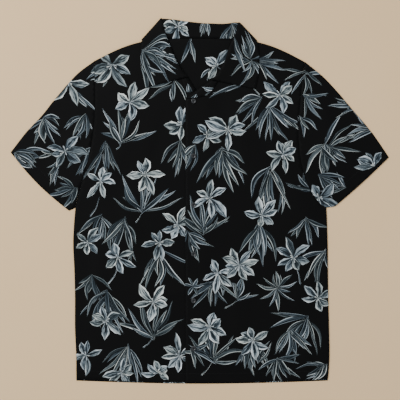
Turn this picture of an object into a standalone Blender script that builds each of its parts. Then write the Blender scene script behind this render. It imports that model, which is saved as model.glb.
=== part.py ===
"""A short-sleeved, button-through shirt laid flat on its back, front up.

Frame: +Z up, +Y towards the collar, +X towards the wearer's left.  The origin
is the middle of the shirt's box, on the surface it lies on.  Tables and sizes
are in millimetres; the meshes are made in metres.

The cloth is a wall of even thickness.  Each panel is a loft over rows: every
row runs from one cut edge to the other, and lies on the layer below it.
"""

import math
from collections import namedtuple

import bpy

MM = 0.001

# Cloth and stacking.
WALL = 1.0  # thickness of the cloth wall
GAP = 0.3  # clearance at seams and between layers
SEAM_EASE = 0.15  # more clearance where a seam curves
LAYER = WALL + GAP  # step from one layer to the next
MID = WALL / 2  # middle of a wall that lies on the surface
AIR = 2.4  # slack between back and fronts, away from the edges
AIR_REACH = 70.0  # distance from an edge at which the slack is full

# Front closure.
CLOSURE_X = -14.0  # the line of buttons
LAP = 18.5  # each front passes the button line by this much
LAP_EASE = 40.0  # width over which the upper front comes down
LAP_SLACK = 0.3  # extra clearance of the upper front over the under one
LEAF_SLACK = 0.3  # the collar's leaf lies this much looser than a flat layer
LIFT_SLACK = 0.25  # extra clearance between back and fronts over the collar's fall
ROLL_FOOT_Y = 231.0  # the fronts turn back above this height
REVERS_EASE = 0.3  # the turned revers lies this much looser than a flat layer

# Hem: lowest in the middle; the back shows below the fronts.
HEM_DIP = 7.0
HEM_DIP_REACH = 110.0
HEM_FRONT_RISE = 3.0

# Shoulder seam, bowed up between its ends.
SHOULDER_BOW = 9.5

# The back rises over the collar's fall, which lies under it.
LIFT_START_Y = 280.0
LIFT_END_Y = 340.0
LIFT_INSIDE_X = 138.0
LIFT_OUTSIDE_X = 225.0

# Buttons.
BUTTON_RADIUS = 5.6
BUTTON_THICK = 2.4
BUTTON_RIM = 1.2
BUTTON_DISH = 0.6
BUTTON_HOLE_RADIUS = 0.75
BUTTON_HOLE_SPREAD = 1.35
BUTTON_STEPS = 16
BUTTON_HOLE_SIDES = 6
BUTTON_Y = (224.0, 101.0, -9.0, -119.0, -224.0, -331.0)

COLUMNS_BACK = 12
COLUMNS_FRONT = 8
COLUMNS_SLEEVE_FOLD = 3

# Side seams, from hem to armpit.
Side = namedtuple("Side", "level y right_x left_x")
SIDES = (
    Side("hem", -404.0, -277.5, 287.5),
    Side("above hem", -385.0, -277.5, 289.5),
    Side("hip", -345.0, -278.0, 291.5),
    Side("low waist", -285.0, -280.5, 290.5),
    Side("waist", -220.0, -280.5, 289.0),
    Side("ribs", -155.0, -282.0, 288.0),
    Side("chest", -98.0, -284.5, 287.5),
    Side("below armpit", -50.0, -282.5, 286.0),
)

# Armhole seams: a straight line from shoulder to armpit, bowed into the body.
Armhole = namedtuple("Armhole", "top_x top_y pit_x pit_y depth skew fullness")
ARMHOLES = {
    "right": Armhole(-235.5, 315.0, -279.5, -15.0, 17.0, 1.0, 1.3),
    "left": Armhole(236.5, 312.0, 284.5, -15.0, 43.0, 1.6, 0.6),
}
ARMHOLE_STEPS = (1.0, 0.88, 0.76, 0.64, 0.52, 0.4, 0.33, 0.26)
ARMHOLE_NECK_STEPS = (0.215, 0.17, 0.13, 0.095, 0.06, 0.03, 0.0)
SHOULDER_STEPS = (0.25, 0.5, 0.75, 1.0)

# Sleeves: each section runs from the fold along the top to the underarm fold.
Sleeve = namedtuple("Sleeve", "section top_x top_y under_x under_y")
SLEEVES = {
    "right": (
        Sleeve("cap", -277.5, 283.0, -282.5, -16.5),
        Sleeve("upper", -323.5, 231.0, -285.5, -18.0),
        Sleeve("middle", -354.5, 192.0, -288.5, -19.5),
        Sleeve("lower", -388.5, 156.0, -291.5, -20.5),
        Sleeve("cuff", -425.0, 109.0, -294.0, -22.0),
    ),
    "left": (
        Sleeve("cap", 276.0, 280.0, 288.0, -14.5),
        Sleeve("upper", 311.0, 243.0, 292.0, -14.0),
        Sleeve("middle", 346.0, 202.0, 296.5, -13.5),
        Sleeve("lower", 385.0, 156.0, 300.5, -13.0),
        Sleeve("cuff", 425.0, 98.0, 304.5, -12.0),
    ),
}
CUFF_BOW = {"right": 7.0, "left": 2.0}

# Collar: each section runs from the neck seam over the roll to the free edge.
Collar = namedtuple("Collar", "section neck_x neck_y roll_x roll_y edge_x edge_y roll_height")
COLLAR_FRONT = {
    "right": (
        Collar("front edge", -31.0, 280.5, -26.5, 279.0, -121.5, 254.0, 3.2),
        Collar("leaf 1", -50.0, 294.0, -41.5, 296.0, -127.0, 270.0, 4.6),
        Collar("leaf 2", -66.0, 315.0, -55.5, 320.0, -131.5, 294.0, 5.2),
        Collar("leaf 3", -76.0, 337.0, -65.5, 347.0, -133.5, 320.0, 4.8),
        Collar("leaf 4", -81.5, 352.0, -75.5, 374.0, -133.5, 342.0, 3.8),
        Collar("leaf 5", -84.0, 361.0, -82.0, 396.0, -132.5, 355.0, 2.4),
    ),
    "left": (
        Collar("front edge", 31.0, 274.0, 26.5, 272.5, 124.5, 251.0, 3.2),
        Collar("leaf 1", 52.0, 291.0, 44.0, 292.0, 129.0, 268.0, 4.6),
        Collar("leaf 2", 67.0, 314.0, 57.0, 317.0, 132.5, 292.0, 5.2),
        Collar("leaf 3", 76.0, 336.0, 66.0, 346.0, 133.5, 318.0, 4.8),
        Collar("leaf 4", 81.5, 351.0, 77.0, 370.0, 133.0, 339.0, 3.8),
        Collar("leaf 5", 84.0, 360.0, 84.0, 388.0, 131.0, 351.0, 2.4),
    ),
}
COLLAR_SIDE = {
    "right": Collar("side fold", -85.0, 365.0, -86.0, 410.4, -131.0, 362.0, 0.0),
    "left": Collar("side fold", 85.0, 365.0, 88.0, 401.0, 129.0, 360.0, 0.0),
}
COLLAR_BACK = (
    Collar("back 1", -79.0, 365.0, -78.0, 409.4, -116.0, 354.0, 2.2),
    Collar("back 2", -55.0, 365.0, -55.0, 407.0, -72.0, 348.0, 2.8),
    Collar("back 3", -28.0, 365.0, -28.0, 403.0, -36.0, 346.0, 3.0),
    Collar("centre", 0.0, 365.0, 0.0, 400.0, 0.0, 345.5, 3.0),
    Collar("back 4", 28.0, 365.0, 28.0, 398.5, 36.0, 346.0, 3.0),
    Collar("back 5", 55.0, 365.0, 55.0, 398.0, 72.0, 348.0, 2.8),
    Collar("back 6", 79.0, 365.0, 80.0, 401.0, 114.0, 353.0, 2.2),
)
FOLD_ANGLES = (90.0, 45.0, 0.0, -45.0, -90.0)
ROLL_STEPS = (0.0, 0.25, 0.5, 0.75, 1.0)
STAND_STEPS = (0.0, 0.5)
FALL_STEPS = (0.2, 0.45, 0.72, 1.0)
CORNER_REACH = 7.0  # rounding of the collar where roll and side fold meet

# Revers: each section runs from the roll line to the free edge.
Revers = namedtuple("Revers", "section roll_x roll_y edge_x edge_y")
REVERS = {
    "right": (
        Revers("foot", -10.5, 250.0, -13.0, 247.5),
        Revers("lower", -12.5, 254.0, -23.0, 244.0),
        Revers("tip", -16.5, 260.0, -34.5, 248.5),
        Revers("upper", -22.5, 269.5, -38.0, 261.0),
        Revers("gorge", -27.5, 277.6, -41.0, 274.0),
    ),
    "left": (
        Revers("foot", -31.0, 231.5, -29.5, 230.0),
        Revers("lower", -16.5, 241.5, -6.0, 232.5),
        Revers("tip", -1.0, 253.0, 17.0, 238.0),
        Revers("upper", 13.5, 263.0, 30.5, 252.5),
        Revers("gorge", 26.5, 271.2, 40.5, 268.2),
    ),
}
REVERS_STEPS = (0.0, 0.35, 0.7, 1.0)

INWARD = {"right": 1.0, "left": -1.0}  # the way into the body, along X

CLOTH_COLOUR = (0.012, 0.014, 0.018)
BUTTON_COLOUR = (0.02, 0.019, 0.02)


def smooth(t):
    """0 to 1 with level ends."""
    t = min(max(t, 0.0), 1.0)
    return t * t * (3.0 - 2.0 * t)


def mix(a, b, t):
    return a + (b - a) * t


def mix_points(a, b, t):
    return tuple(mix(p, q, t) for p, q in zip(a, b))


def unit(x, y):
    length = math.hypot(x, y)
    return x / length, y / length


# ---------------------------------------------------------------- cut edges


def side_x(side, y):
    """X of a side seam at a height, between the rows of its table."""
    column = side + "_x"
    armhole = ARMHOLES[side]
    levels = [(row.y, getattr(row, column)) for row in SIDES]
    levels.append((armhole.pit_y, armhole.pit_x))
    for (y_low, x_low), (y_high, x_high) in zip(levels, levels[1:]):
        if y <= y_high:
            return mix(x_low, x_high, (y - y_low) / (y_high - y_low))
    return levels[-1][1]


def armhole_point(side, t, clear):
    """A point of the armhole seam, 0 at the shoulder, moved into the body by clear."""
    hole = ARMHOLES[side]
    bow = hole.depth * abs(math.sin(math.pi * t**hole.skew)) ** hole.fullness
    x = mix(hole.top_x, hole.pit_x, t) + INWARD[side] * (bow + clear)
    return x, mix(hole.top_y, hole.pit_y, t)


def neck_point(side):
    """Where the shoulder seam meets the neck seam."""
    fold = COLLAR_SIDE[side]
    return fold.neck_x + INWARD[side] * GAP, fold.neck_y - GAP


def shoulder_point(side, t):
    """A point of the shoulder seam, 0 at the armhole and 1 at the neck."""
    x, y = mix_points(armhole_point(side, 0.0, GAP / 2), neck_point(side), t)
    return x, y + SHOULDER_BOW * math.sin(math.pi * t)


def neck_seam(side):
    """The front's neck edge, from the roll line up, clear of the collar's stand."""
    clear = GAP + SEAM_EASE
    points = []
    for row in COLLAR_FRONT[side]:
        out_x, out_y = unit(row.neck_x - row.roll_x, row.neck_y - row.roll_y)
        points.append((row.neck_x + clear * out_x, row.neck_y + clear * out_y))
    return points + [neck_point(side)]


def silhouette():
    """The outline of body and sleeves, without the collar."""
    halves = []
    for side in ("right", "left"):
        rows = SLEEVES[side]
        half = [(side_x(side, row.y), row.y) for row in SIDES]
        half.append((rows[0].under_x, rows[0].under_y))
        half.append((rows[-1].under_x, rows[-1].under_y))
        half += [(row.top_x, row.top_y) for row in reversed(rows)]
        half += [shoulder_point(side, t) for t in (0.0, 0.3, 0.6, 1.0)]
        halves.append(half)
    return halves[0] + halves[1][::-1]


def segment_distance(x, y, start, end):
    run_x = end[0] - start[0]
    run_y = end[1] - start[1]
    along = ((x - start[0]) * run_x + (y - start[1]) * run_y) / (run_x**2 + run_y**2)
    along = min(max(along, 0.0), 1.0)
    return math.hypot(x - start[0] - along * run_x, y - start[1] - along * run_y)


def depth_inside(x, y, outline):
    """Distance from the outline for a point inside it, and 0 outside."""
    inside = False
    nearest = math.inf
    for start, end in zip(outline, outline[1:] + outline[:1]):
        nearest = min(nearest, segment_distance(x, y, start, end))
        if (start[1] > y) != (end[1] > y):
            crossing = mix(start[0], end[0], (y - start[1]) / (end[1] - start[1]))
            inside ^= x < crossing
    return nearest if inside else 0.0


OUTLINE = silhouette()


# ------------------------------------------------------------------ heights


def lift(x, y):
    """How far the back is raised, over the collar's fall."""
    up = smooth((y - LIFT_START_Y) / (LIFT_END_Y - LIFT_START_Y))
    across = smooth((LIFT_OUTSIDE_X - abs(x)) / (LIFT_OUTSIDE_X - LIFT_INSIDE_X))
    return LAYER * up * across


def back_height(x, y):
    """Middle of the back's wall."""
    return MID + lift(x, y)


def front_height(x, y):
    """Middle of the wall of a front, or of a sleeve's upper layer."""
    air = AIR * smooth(depth_inside(x, y, OUTLINE) / AIR_REACH)
    return MID + LAYER + air + lift(x, y) * (1.0 + LIFT_SLACK / LAYER)


def lap_height(x):
    """How far the left front is raised where it laps over the right one."""
    under_edge = CLOSURE_X + LAP
    return (LAYER + LAP_SLACK) * (1.0 - smooth((x - under_edge - 1.0) / LAP_EASE))


def left_front_height(x, y):
    return front_height(x, y) + lap_height(x)


HEIGHT = {"right": front_height, "left": left_front_height}


# ------------------------------------------------------------------- meshes


def put(point, height):
    return point[0], point[1], height(*point)


def loft(name, rows, around=False):
    """An open surface through rows of points in millimetres; around joins each row's ends."""
    across = len(rows[0])
    points = [[value * MM for value in point] for row in rows for point in row]
    faces = []
    for i in range(len(rows) - 1):
        for j in range(across if around else across - 1):
            k = (j + 1) % across
            low = i * across
            high = low + across
            faces.append((low + j, low + k, high + k, high + j))
    mesh = bpy.data.meshes.new(name)
    mesh.from_pydata(points, [], faces)
    mesh.update()
    return bpy.data.objects.new(name, mesh)


def wall(obj, material):
    """Gives an open surface the cloth's thickness, half to each side."""
    solid = obj.modifiers.new("cloth", "SOLIDIFY")
    solid.thickness = WALL * MM
    solid.offset = 0.0
    obj.data.materials.append(material)
    obj.data.shade_smooth()
    return obj


def hem_y(row_y, x, rise):
    """Rows near the hem dip between the side seams."""
    left = SIDES[0].left_x
    right = SIDES[0].right_x
    dip = HEM_DIP * math.sin(math.pi * min(max((x - right) / (left - right), 0.0), 1.0))
    fade = 1.0 - smooth((row_y - SIDES[0].y) / HEM_DIP_REACH)
    return row_y - (dip - rise) * fade


def back_panel(material):
    ends = [((side_x("right", s.y), s.y), (side_x("left", s.y), s.y)) for s in SIDES]
    for t in ARMHOLE_STEPS + ARMHOLE_NECK_STEPS:
        ends.append(tuple(armhole_point(side, t, GAP / 2) for side in ("right", "left")))
    for t in SHOULDER_STEPS:
        ends.append(tuple(shoulder_point(side, t) for side in ("right", "left")))
    rows = []
    for right, left in ends:
        row = []
        for column in range(COLUMNS_BACK + 1):
            x, y = mix_points(right, left, column / COLUMNS_BACK)
            row.append(put((x, hem_y(y, x, 0.0)), back_height))
        rows.append(row)
    return wall(loft("back", rows), material)


def front_columns(side):
    """Fractions from side seam to front edge; the left front has extra ones over its lap."""
    even = [i / COLUMNS_FRONT for i in range(COLUMNS_FRONT + 1)]
    if side == "right":
        return even
    return even[:-1] + [0.905, 0.935, 0.965, 1.0]


def front_panel(side, material):
    height = HEIGHT[side]
    edge_x = CLOSURE_X + INWARD[side] * LAP
    ends = [((side_x(side, s.y), s.y), (edge_x, s.y)) for s in SIDES]
    for t in ARMHOLE_STEPS:
        outer = armhole_point(side, t, GAP / 2)
        ends.append((outer, (edge_x, outer[1])))
    ends[-1] = (ends[-1][0], (edge_x, ROLL_FOOT_Y))
    for t, inner in zip(ARMHOLE_NECK_STEPS, neck_seam(side)):
        ends.append((armhole_point(side, t, GAP / 2), inner))
    rows = []
    for index, (outer, inner) in enumerate(ends):
        step = index - (len(ends) - len(ARMHOLE_NECK_STEPS))
        bow = SHOULDER_BOW * smooth((step + 1) / len(ARMHOLE_NECK_STEPS))
        row = []
        for t in front_columns(side):
            x, y = mix_points(outer, inner, t)
            y = hem_y(y, x, HEM_FRONT_RISE) + bow * math.sin(math.pi * t)
            row.append(put((x, y), height))
        rows.append(row)
    return wall(loft(side + "_front", rows), material)


def revers(side, material):
    height = HEIGHT[side]
    rows = []
    for section in REVERS[side]:
        row = []
        for t in REVERS_STEPS:
            x = mix(section.roll_x, section.edge_x, t)
            y = mix(section.roll_y, section.edge_y, t)
            row.append((x, y, height(x, y) + LAYER + REVERS_EASE))
        rows.append(row)
    return wall(loft(side + "_revers", rows), material)


def sleeve_section(side, top, under, bow_x, bow_y):
    """A flattened ring: the lower layer out to the underarm, the upper layer back."""
    steps = ARMHOLE_NECK_STEPS[-2::-1] + ARMHOLE_STEPS[::-1][:-1]
    along_x, along_y = unit(under[0] - top[0], under[1] - top[1])
    points = []
    for t in steps:
        x, y = mix_points(top, under, t)
        points.append((x + bow_x(t), y + bow_y(t)))
    lower = [(x, y, MID) for x, y in points]
    upper = [put(point, front_height) for point in points]
    fold = LAYER / 2

    def bend(centre, way):
        ring = []
        for i in range(COLUMNS_SLEEVE_FOLD):
            angle = math.pi * (i / (COLUMNS_SLEEVE_FOLD - 1) - 0.5)
            reach = fold * (math.cos(angle) - 1.0)
            x = centre[0] + way * along_x * reach
            y = centre[1] + way * along_y * reach
            ring.append((x, y, MID + fold * (1.0 + way * math.sin(angle))))
        return ring

    return lower + bend(under, 1.0) + upper[::-1] + bend(top, -1.0)


def sleeve(side, material):
    clear = -GAP / 2 - SEAM_EASE
    hole_top = armhole_point(side, 0.0, clear)
    hole_pit = armhole_point(side, 1.0, clear)
    sections = [(hole_top, hole_pit)]
    sections += [((s.top_x, s.top_y), (s.under_x, s.under_y)) for s in SLEEVES[side]]
    last = len(sections) - 1
    rows = []
    for index, (top, under) in enumerate(sections):
        hole_share = 1.0 - index / last
        cuff_x, cuff_y = unit(under[1] - top[1], top[0] - under[0])
        cuff_share = CUFF_BOW[side] * (index / last) ** 2 * INWARD[side]

        def bow_x(t):
            straight = mix(hole_top[0], hole_pit[0], t)
            seam = armhole_point(side, t, clear)[0] - straight
            return hole_share * seam + cuff_share * cuff_x * math.sin(math.pi * t)

        def bow_y(t):
            return cuff_share * cuff_y * math.sin(math.pi * t)

        rows.append(sleeve_section(side, top, under, bow_x, bow_y))
    return wall(loft(side + "_sleeve", rows, around=True), material)


def collar_section(row, reach, neck_z, stand_z, fall_z, edge_z):
    """One line of the collar: up the stand, round the roll, out along the fall."""
    neck = (row.neck_x, row.neck_y)
    roll = (row.roll_x, row.roll_y)
    edge = (row.edge_x, row.edge_y)
    to_neck = unit(neck[0] - roll[0], neck[1] - roll[1])
    to_edge = unit(edge[0] - roll[0], edge[1] - roll[1])

    def round_roll(t):
        stand = reach * ((1.0 - t) ** 2 - 0.25)
        fall = reach * (t**2 - 0.25)
        x = roll[0] + to_neck[0] * stand + to_edge[0] * fall
        y = roll[1] + to_neck[1] * stand + to_edge[1] * fall
        return x, y

    line = []
    stand_top = round_roll(0.0)
    for t in STAND_STEPS:
        x, y = mix_points(neck, stand_top, t)
        line.append((x, y, mix(neck_z(x, y), stand_z(x, y), smooth(t))))
    for t in ROLL_STEPS:
        x, y = round_roll(t)
        turn = (1.0 - math.cos(math.pi * t)) / 2
        line.append((x, y, mix(stand_z(x, y), fall_z(x, y), turn)))
    fall_top = round_roll(1.0)
    for t in FALL_STEPS:
        x, y = mix_points(fall_top, edge, t)
        drop = (1.0 - t) ** 2
        line.append((x, y, mix(edge_z(x, y), fall_z(x, y), drop)))
    return line


def level(value):
    return lambda x, y: value


def above_front(side, extra):
    return lambda x, y: HEIGHT[side](x, y) + extra


def leaf_section(side, row):
    """A section in front, where the leaf lies over the stand and the front."""
    stand = HEIGHT[side]
    roll_top = above_front(side, row.roll_height)
    leaf = above_front(side, LAYER + LEAF_SLACK)
    return collar_section(row, row.roll_height, stand, stand, roll_top, leaf)


def back_section(row):
    """A section behind the neck, where the fall lies under the back."""
    stand_top = level(MID + row.roll_height)
    return collar_section(row, row.roll_height, back_height, stand_top, level(MID), level(MID))


def fold_sections(side):
    """The side fold, where the collar turns from the front of the neck to the back."""
    row = COLLAR_SIDE[side]
    stand_radius = LAYER / 2
    fall_radius = LAYER * 1.5
    middle = MID + fall_radius
    along_x, along_y = unit(row.edge_x - row.roll_x, row.edge_y - row.roll_y)
    in_x = INWARD[side] * abs(along_y)
    in_y = -abs(along_x)
    sections = []
    for degrees in FOLD_ANGLES:
        rise = math.sin(math.radians(degrees))
        inset = fall_radius * (1.0 - math.cos(math.radians(degrees)))
        moved = row._replace(
            neck_x=row.neck_x + INWARD[side] * stand_radius * inset / fall_radius,
            roll_x=row.roll_x + in_x * inset,
            roll_y=row.roll_y + in_y * inset,
            edge_x=row.edge_x + in_x * inset,
            edge_y=row.edge_y + in_y * inset,
        )
        stand = level(middle + stand_radius * rise)
        fall = level(middle + fall_radius * rise)
        sections.append(collar_section(moved, CORNER_REACH, stand, stand, fall, fall))
    return sections


def collar(material):
    rows = [leaf_section("right", row) for row in COLLAR_FRONT["right"]]
    rows += fold_sections("right")
    rows += [back_section(row) for row in COLLAR_BACK]
    rows += fold_sections("left")[::-1]
    rows += [leaf_section("left", row) for row in reversed(COLLAR_FRONT["left"])]
    return wall(loft("collar", rows), material)


# ------------------------------------------------------------------ buttons


def button_blank():
    """The turned button, its axis on Z: flat below, a raised rim round a dish."""
    outline = (
        (0.0, BUTTON_THICK - BUTTON_DISH),
        (BUTTON_RADIUS - BUTTON_RIM - 0.5, BUTTON_THICK - BUTTON_DISH),
        (BUTTON_RADIUS - BUTTON_RIM, BUTTON_THICK),
        (BUTTON_RADIUS - 0.4, BUTTON_THICK),
        (BUTTON_RADIUS, BUTTON_THICK - 0.6),
        (BUTTON_RADIUS, 0.7),
        (BUTTON_RADIUS - 0.9, 0.0),
        (0.0, 0.0),
    )
    mesh = bpy.data.meshes.new("button")
    points = [(x * MM, 0.0, z * MM) for x, z in outline]
    mesh.from_pydata(points, [(i, i + 1) for i in range(len(points) - 1)], [])
    blank = bpy.data.objects.new("button", mesh)
    turn = blank.modifiers.new("turn", "SCREW")
    turn.steps = BUTTON_STEPS
    turn.render_steps = BUTTON_STEPS
    turn.use_merge_vertices = True
    turn.merge_threshold = 0.00001
    return blank


def hole_cutter(name, x, y, z):
    bpy.ops.mesh.primitive_cylinder_add(
        vertices=BUTTON_HOLE_SIDES,
        radius=BUTTON_HOLE_RADIUS * MM,
        depth=3.0 * BUTTON_THICK * MM,
        location=(x * MM, y * MM, z * MM),
    )
    cutter = bpy.context.object
    cutter.name = name
    cutter.hide_render = True
    cutter.display_type = "WIRE"
    return cutter


def button(number, y, material, cutters):
    x = CLOSURE_X
    z = left_front_height(x, y) + MID + GAP
    blank = button_blank()
    blank.name = f"button_{number}"
    blank.location = (x * MM, y * MM, z * MM)
    for index in range(4):
        angle = math.pi * (0.25 + index / 2)
        hole_x = x + BUTTON_HOLE_SPREAD * math.cos(angle)
        hole_y = y + BUTTON_HOLE_SPREAD * math.sin(angle)
        cutter = hole_cutter(f"cutter_{number}_{index}", hole_x, hole_y, z)
        move_to(cutter, cutters)
        cut = blank.modifiers.new(f"hole {index + 1}", "BOOLEAN")
        cut.operation = "DIFFERENCE"
        cut.object = cutter
    blank.data.materials.append(material)
    return blank


# -------------------------------------------------------------------- scene


def clear_scene():
    for obj in list(bpy.data.objects):
        bpy.data.objects.remove(obj)


def plain_material(name, colour, roughness):
    material = bpy.data.materials.new(name)
    material.use_nodes = True
    shader = material.node_tree.nodes["Principled BSDF"]
    shader.inputs["Base Color"].default_value = (*colour, 1.0)
    shader.inputs["Roughness"].default_value = roughness
    shader.inputs["Metallic"].default_value = 0.0
    return material


def new_collection(name):
    collection = bpy.data.collections.new(name)
    bpy.context.scene.collection.children.link(collection)
    return collection


def move_to(obj, collection):
    for holder in list(obj.users_collection):
        holder.objects.unlink(obj)
    collection.objects.link(obj)


def build():
    clear_scene()
    shirt = new_collection("hawaiian_shirt")
    cutters = new_collection("cutters")
    cutters.hide_render = True

    def cloth(name):
        return plain_material(name, CLOTH_COLOUR, 0.8)

    pieces = [back_panel(cloth("back cloth")), collar(cloth("collar cloth"))]
    for side in ("right", "left"):
        pieces.append(front_panel(side, cloth(side + " front cloth")))
        pieces.append(sleeve(side, cloth(side + " sleeve cloth")))
        pieces.append(revers(side, cloth(side + " revers cloth")))
    for number, y in enumerate(BUTTON_Y, start=1):
        shell = plain_material(f"button {number} resin", BUTTON_COLOUR, 0.35)
        pieces.append(button(number, y, shell, cutters))
    for piece in pieces:
        shirt.objects.link(piece)


build()
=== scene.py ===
"""A short-sleeved printed shirt with an open collar, laid flat on its back, front up.

+Z is up from the surface, +Y towards the collar and +X towards the wearer's left.
Sizes are in millimetres; the meshes are made in metres.
"""

import math
import random
from collections import namedtuple

import bpy
import numpy as np
from mathutils import Matrix
from mathutils.geometry import delaunay_2d_cdt


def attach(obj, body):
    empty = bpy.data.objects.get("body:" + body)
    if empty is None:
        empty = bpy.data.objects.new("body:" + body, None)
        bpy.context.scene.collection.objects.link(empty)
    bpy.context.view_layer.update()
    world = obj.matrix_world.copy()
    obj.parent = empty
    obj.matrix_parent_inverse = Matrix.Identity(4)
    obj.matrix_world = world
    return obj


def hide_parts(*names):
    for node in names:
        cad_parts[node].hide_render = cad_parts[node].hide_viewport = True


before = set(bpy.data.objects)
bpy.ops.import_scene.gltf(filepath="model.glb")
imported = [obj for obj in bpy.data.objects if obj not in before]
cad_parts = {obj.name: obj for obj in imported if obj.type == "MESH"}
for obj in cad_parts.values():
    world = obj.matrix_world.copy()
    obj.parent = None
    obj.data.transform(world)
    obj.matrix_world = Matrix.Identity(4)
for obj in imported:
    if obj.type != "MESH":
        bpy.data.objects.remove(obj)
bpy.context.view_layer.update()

# ---------------------------------------------------------------- the back
# The back is one cut of printed rayon that lies face down on the surface.  Its
# side seams, armholes and shoulders are sewn to the fronts and sleeves.

MM = 0.001
CLOTH = 0.8  # cloth with the give of its seams and hems pressed flat
BACK_MID = 0.4  # height of the middle of the back's wall
BACK_FLAT_RIM = 40.0  # the back's creases fade out this near its edge
MOST_BACK_CREASE = 1.0
SEAM_GAP = 0.15  # each panel stops this far from the seam line
LAYER = 1.3  # from the middle of one cloth to the next that lies on it
GRID = 7.0  # spacing of the points that carry the drape
DRAPE_STEP = 6.0  # spacing of the points along a long seam
ARMHOLE_POINTS = 56
SHOULDER_POINTS = 26

SideSeam = namedtuple("SideSeam", "y right_x left_x")
SIDE_SEAMS = [
    SideSeam(*row)
    for row in (
        (-404, -277.5, 287.5),
        (-385, -277.5, 289.5),
        (-345, -278, 291.5),
        (-285, -280.5, 290.5),
        (-220, -280.5, 289),
        (-155, -282, 288),
        (-98, -284.5, 287.5),
        (-50, -282.5, 286),
        (-15, -279.5, 284.5),
    )
]
Armhole = namedtuple("Armhole", "top_x top_y pit_x pit_y depth skew fullness")
ARMHOLES = {
    "right": Armhole(-235.5, 315, -279.5, -15, 17, 1, 1.3),
    "left": Armhole(236.5, 312, 284.5, -15, 43, 1.6, 0.6),
}
INWARD = {"right": 1.0, "left": -1.0}
NECK_X = 84.7
NECK_Y = 364.7
SHOULDER_BOW = 9.5
HEM_DIP = 7.0
SLEEVE_TOP = {
    "right": ((-277.5, 283), (-323.5, 231), (-354.5, 192), (-388.5, 156), (-425, 109)),
    "left": ((276, 280), (311, 243), (346, 202), (385, 156), (425, 98)),
}
SLEEVE_UNDER = {
    "right": ((-282.5, -16.5), (-285.5, -18), (-288.5, -19.5), (-291.5, -20.5), (-294, -22)),
    "left": ((288, -14.5), (292, -14), (296.5, -13.5), (300.5, -13), (304.5, -12)),
}

# Creases left by folding and laying out: soft ridges (+) and troughs (-).
Crease = namedtuple("Crease", "x y angle length width height bow")
STEEP_TO_GENTLE = 1.7  # a crease's far side slopes this much more gently
BACK_CREASES = (
    (-150, 40, 84, 260, 16, 0.5, 0.05),
    (40, -120, 97, 300, 18, 0.45, -0.04),
    (170, 120, 100, 190, 13, 0.5, 0.06),
    (-60, -290, 88, 170, 12, 0.4, 0),
    (120, -330, 82, 120, 10, 0.4, 0.03),
)


def smooth(t):
    """An even, soft step from 0 to 1."""
    t = np.clip(t, 0.0, 1.0)
    return t * t * (3.0 - 2.0 * t)


def curve_through(points, step):
    """A smooth line through the points, with a point about every step."""
    p = np.array(points, float)
    ends = np.vstack([2 * p[0] - p[1], p, 2 * p[-1] - p[-2]])
    line = []
    for i in range(1, len(ends) - 2):
        a, b, c, d = ends[i - 1 : i + 3]
        count = max(1, round(np.linalg.norm(c - b) / step))
        for t in np.arange(count) / count:
            line.append(
                0.5 * (2 * b + (c - a) * t + (2 * a - 5 * b + 4 * c - d) * t**2
                       + (3 * b - a - 3 * c + d) * t**3)
            )
    line.append(p[-1])
    return np.array(line)


def side_seam(side):
    """From the hem up to the armpit."""
    column = side + "_x"
    return curve_through([(getattr(row, column), row.y) for row in SIDE_SEAMS], DRAPE_STEP)


def armhole_line(side, clear):
    """The armhole seam from shoulder to armpit, moved into the body by clear."""
    hole = ARMHOLES[side]
    t = np.linspace(0.0, 1.0, ARMHOLE_POINTS)
    bow = hole.depth * np.abs(np.sin(np.pi * t**hole.skew)) ** hole.fullness
    x = hole.top_x + (hole.pit_x - hole.top_x) * t + INWARD[side] * (bow + clear)
    return np.column_stack([x, hole.top_y + (hole.pit_y - hole.top_y) * t])


def shoulder_line(side):
    """From the armhole to the neck."""
    start = armhole_line(side, SEAM_GAP)[0]
    end = np.array([-INWARD[side] * NECK_X, NECK_Y])
    t = np.linspace(0.0, 1.0, SHOULDER_POINTS)[:, None]
    line = start + (end - start) * t
    line[:, 1] += SHOULDER_BOW * np.sin(np.pi * t[:, 0])
    return line


def hem_line(start_x, end_x, rise):
    """The bottom edge, which dips between the side seams."""
    low, high = SIDE_SEAMS[0].right_x, SIDE_SEAMS[0].left_x
    x = np.linspace(start_x, end_x, max(2, round(abs(end_x - start_x) / DRAPE_STEP)) + 1)
    dip = HEM_DIP * np.sin(np.pi * np.clip((x - low) / (high - low), 0.0, 1.0))
    return np.column_stack([x, SIDE_SEAMS[0].y - dip + rise])


def anticlockwise(outline):
    """The outline, turned round if it runs clockwise."""
    x, y = outline[:, 0], outline[:, 1]
    turned = (x * np.roll(y, -1) - np.roll(x, -1) * y).sum()
    return outline if turned > 0.0 else outline[::-1]


SAME_POINT = 0.05


def joined(*lines):
    """One closed outline, anticlockwise, from lines that meet end to end."""
    outline = [lines[0][0]]
    for line in lines:
        for point in line:
            if np.hypot(*(point - outline[-1])) > SAME_POINT:
                outline.append(point)
    if np.hypot(*(outline[-1] - outline[0])) < SAME_POINT:
        outline.pop()
    return anticlockwise(np.array(outline))


def shirt_outline():
    """The outline of body and sleeves as they lie."""
    half = {}
    for side in ("right", "left"):
        under = np.array(SLEEVE_UNDER[side])
        top = np.array(SLEEVE_TOP[side])[::-1]
        half[side] = np.vstack([side_seam(side)[::4], under, top, shoulder_line(side)[::5]])
    return np.vstack([half["right"], half["left"][::-1]])


OUTLINE = shirt_outline()


def reach_to(x, y, line):
    """Distance from each point to a line of points."""
    points = np.column_stack([x, y])[:, None, :]
    start = line[None, :-1]
    run = line[None, 1:] - start
    along = ((points - start) * run).sum(2) / (run**2).sum(2)
    nearest = start + np.clip(along, 0.0, 1.0)[..., None] * run
    return np.sqrt(((points - nearest) ** 2).sum(2)).min(1)


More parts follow.
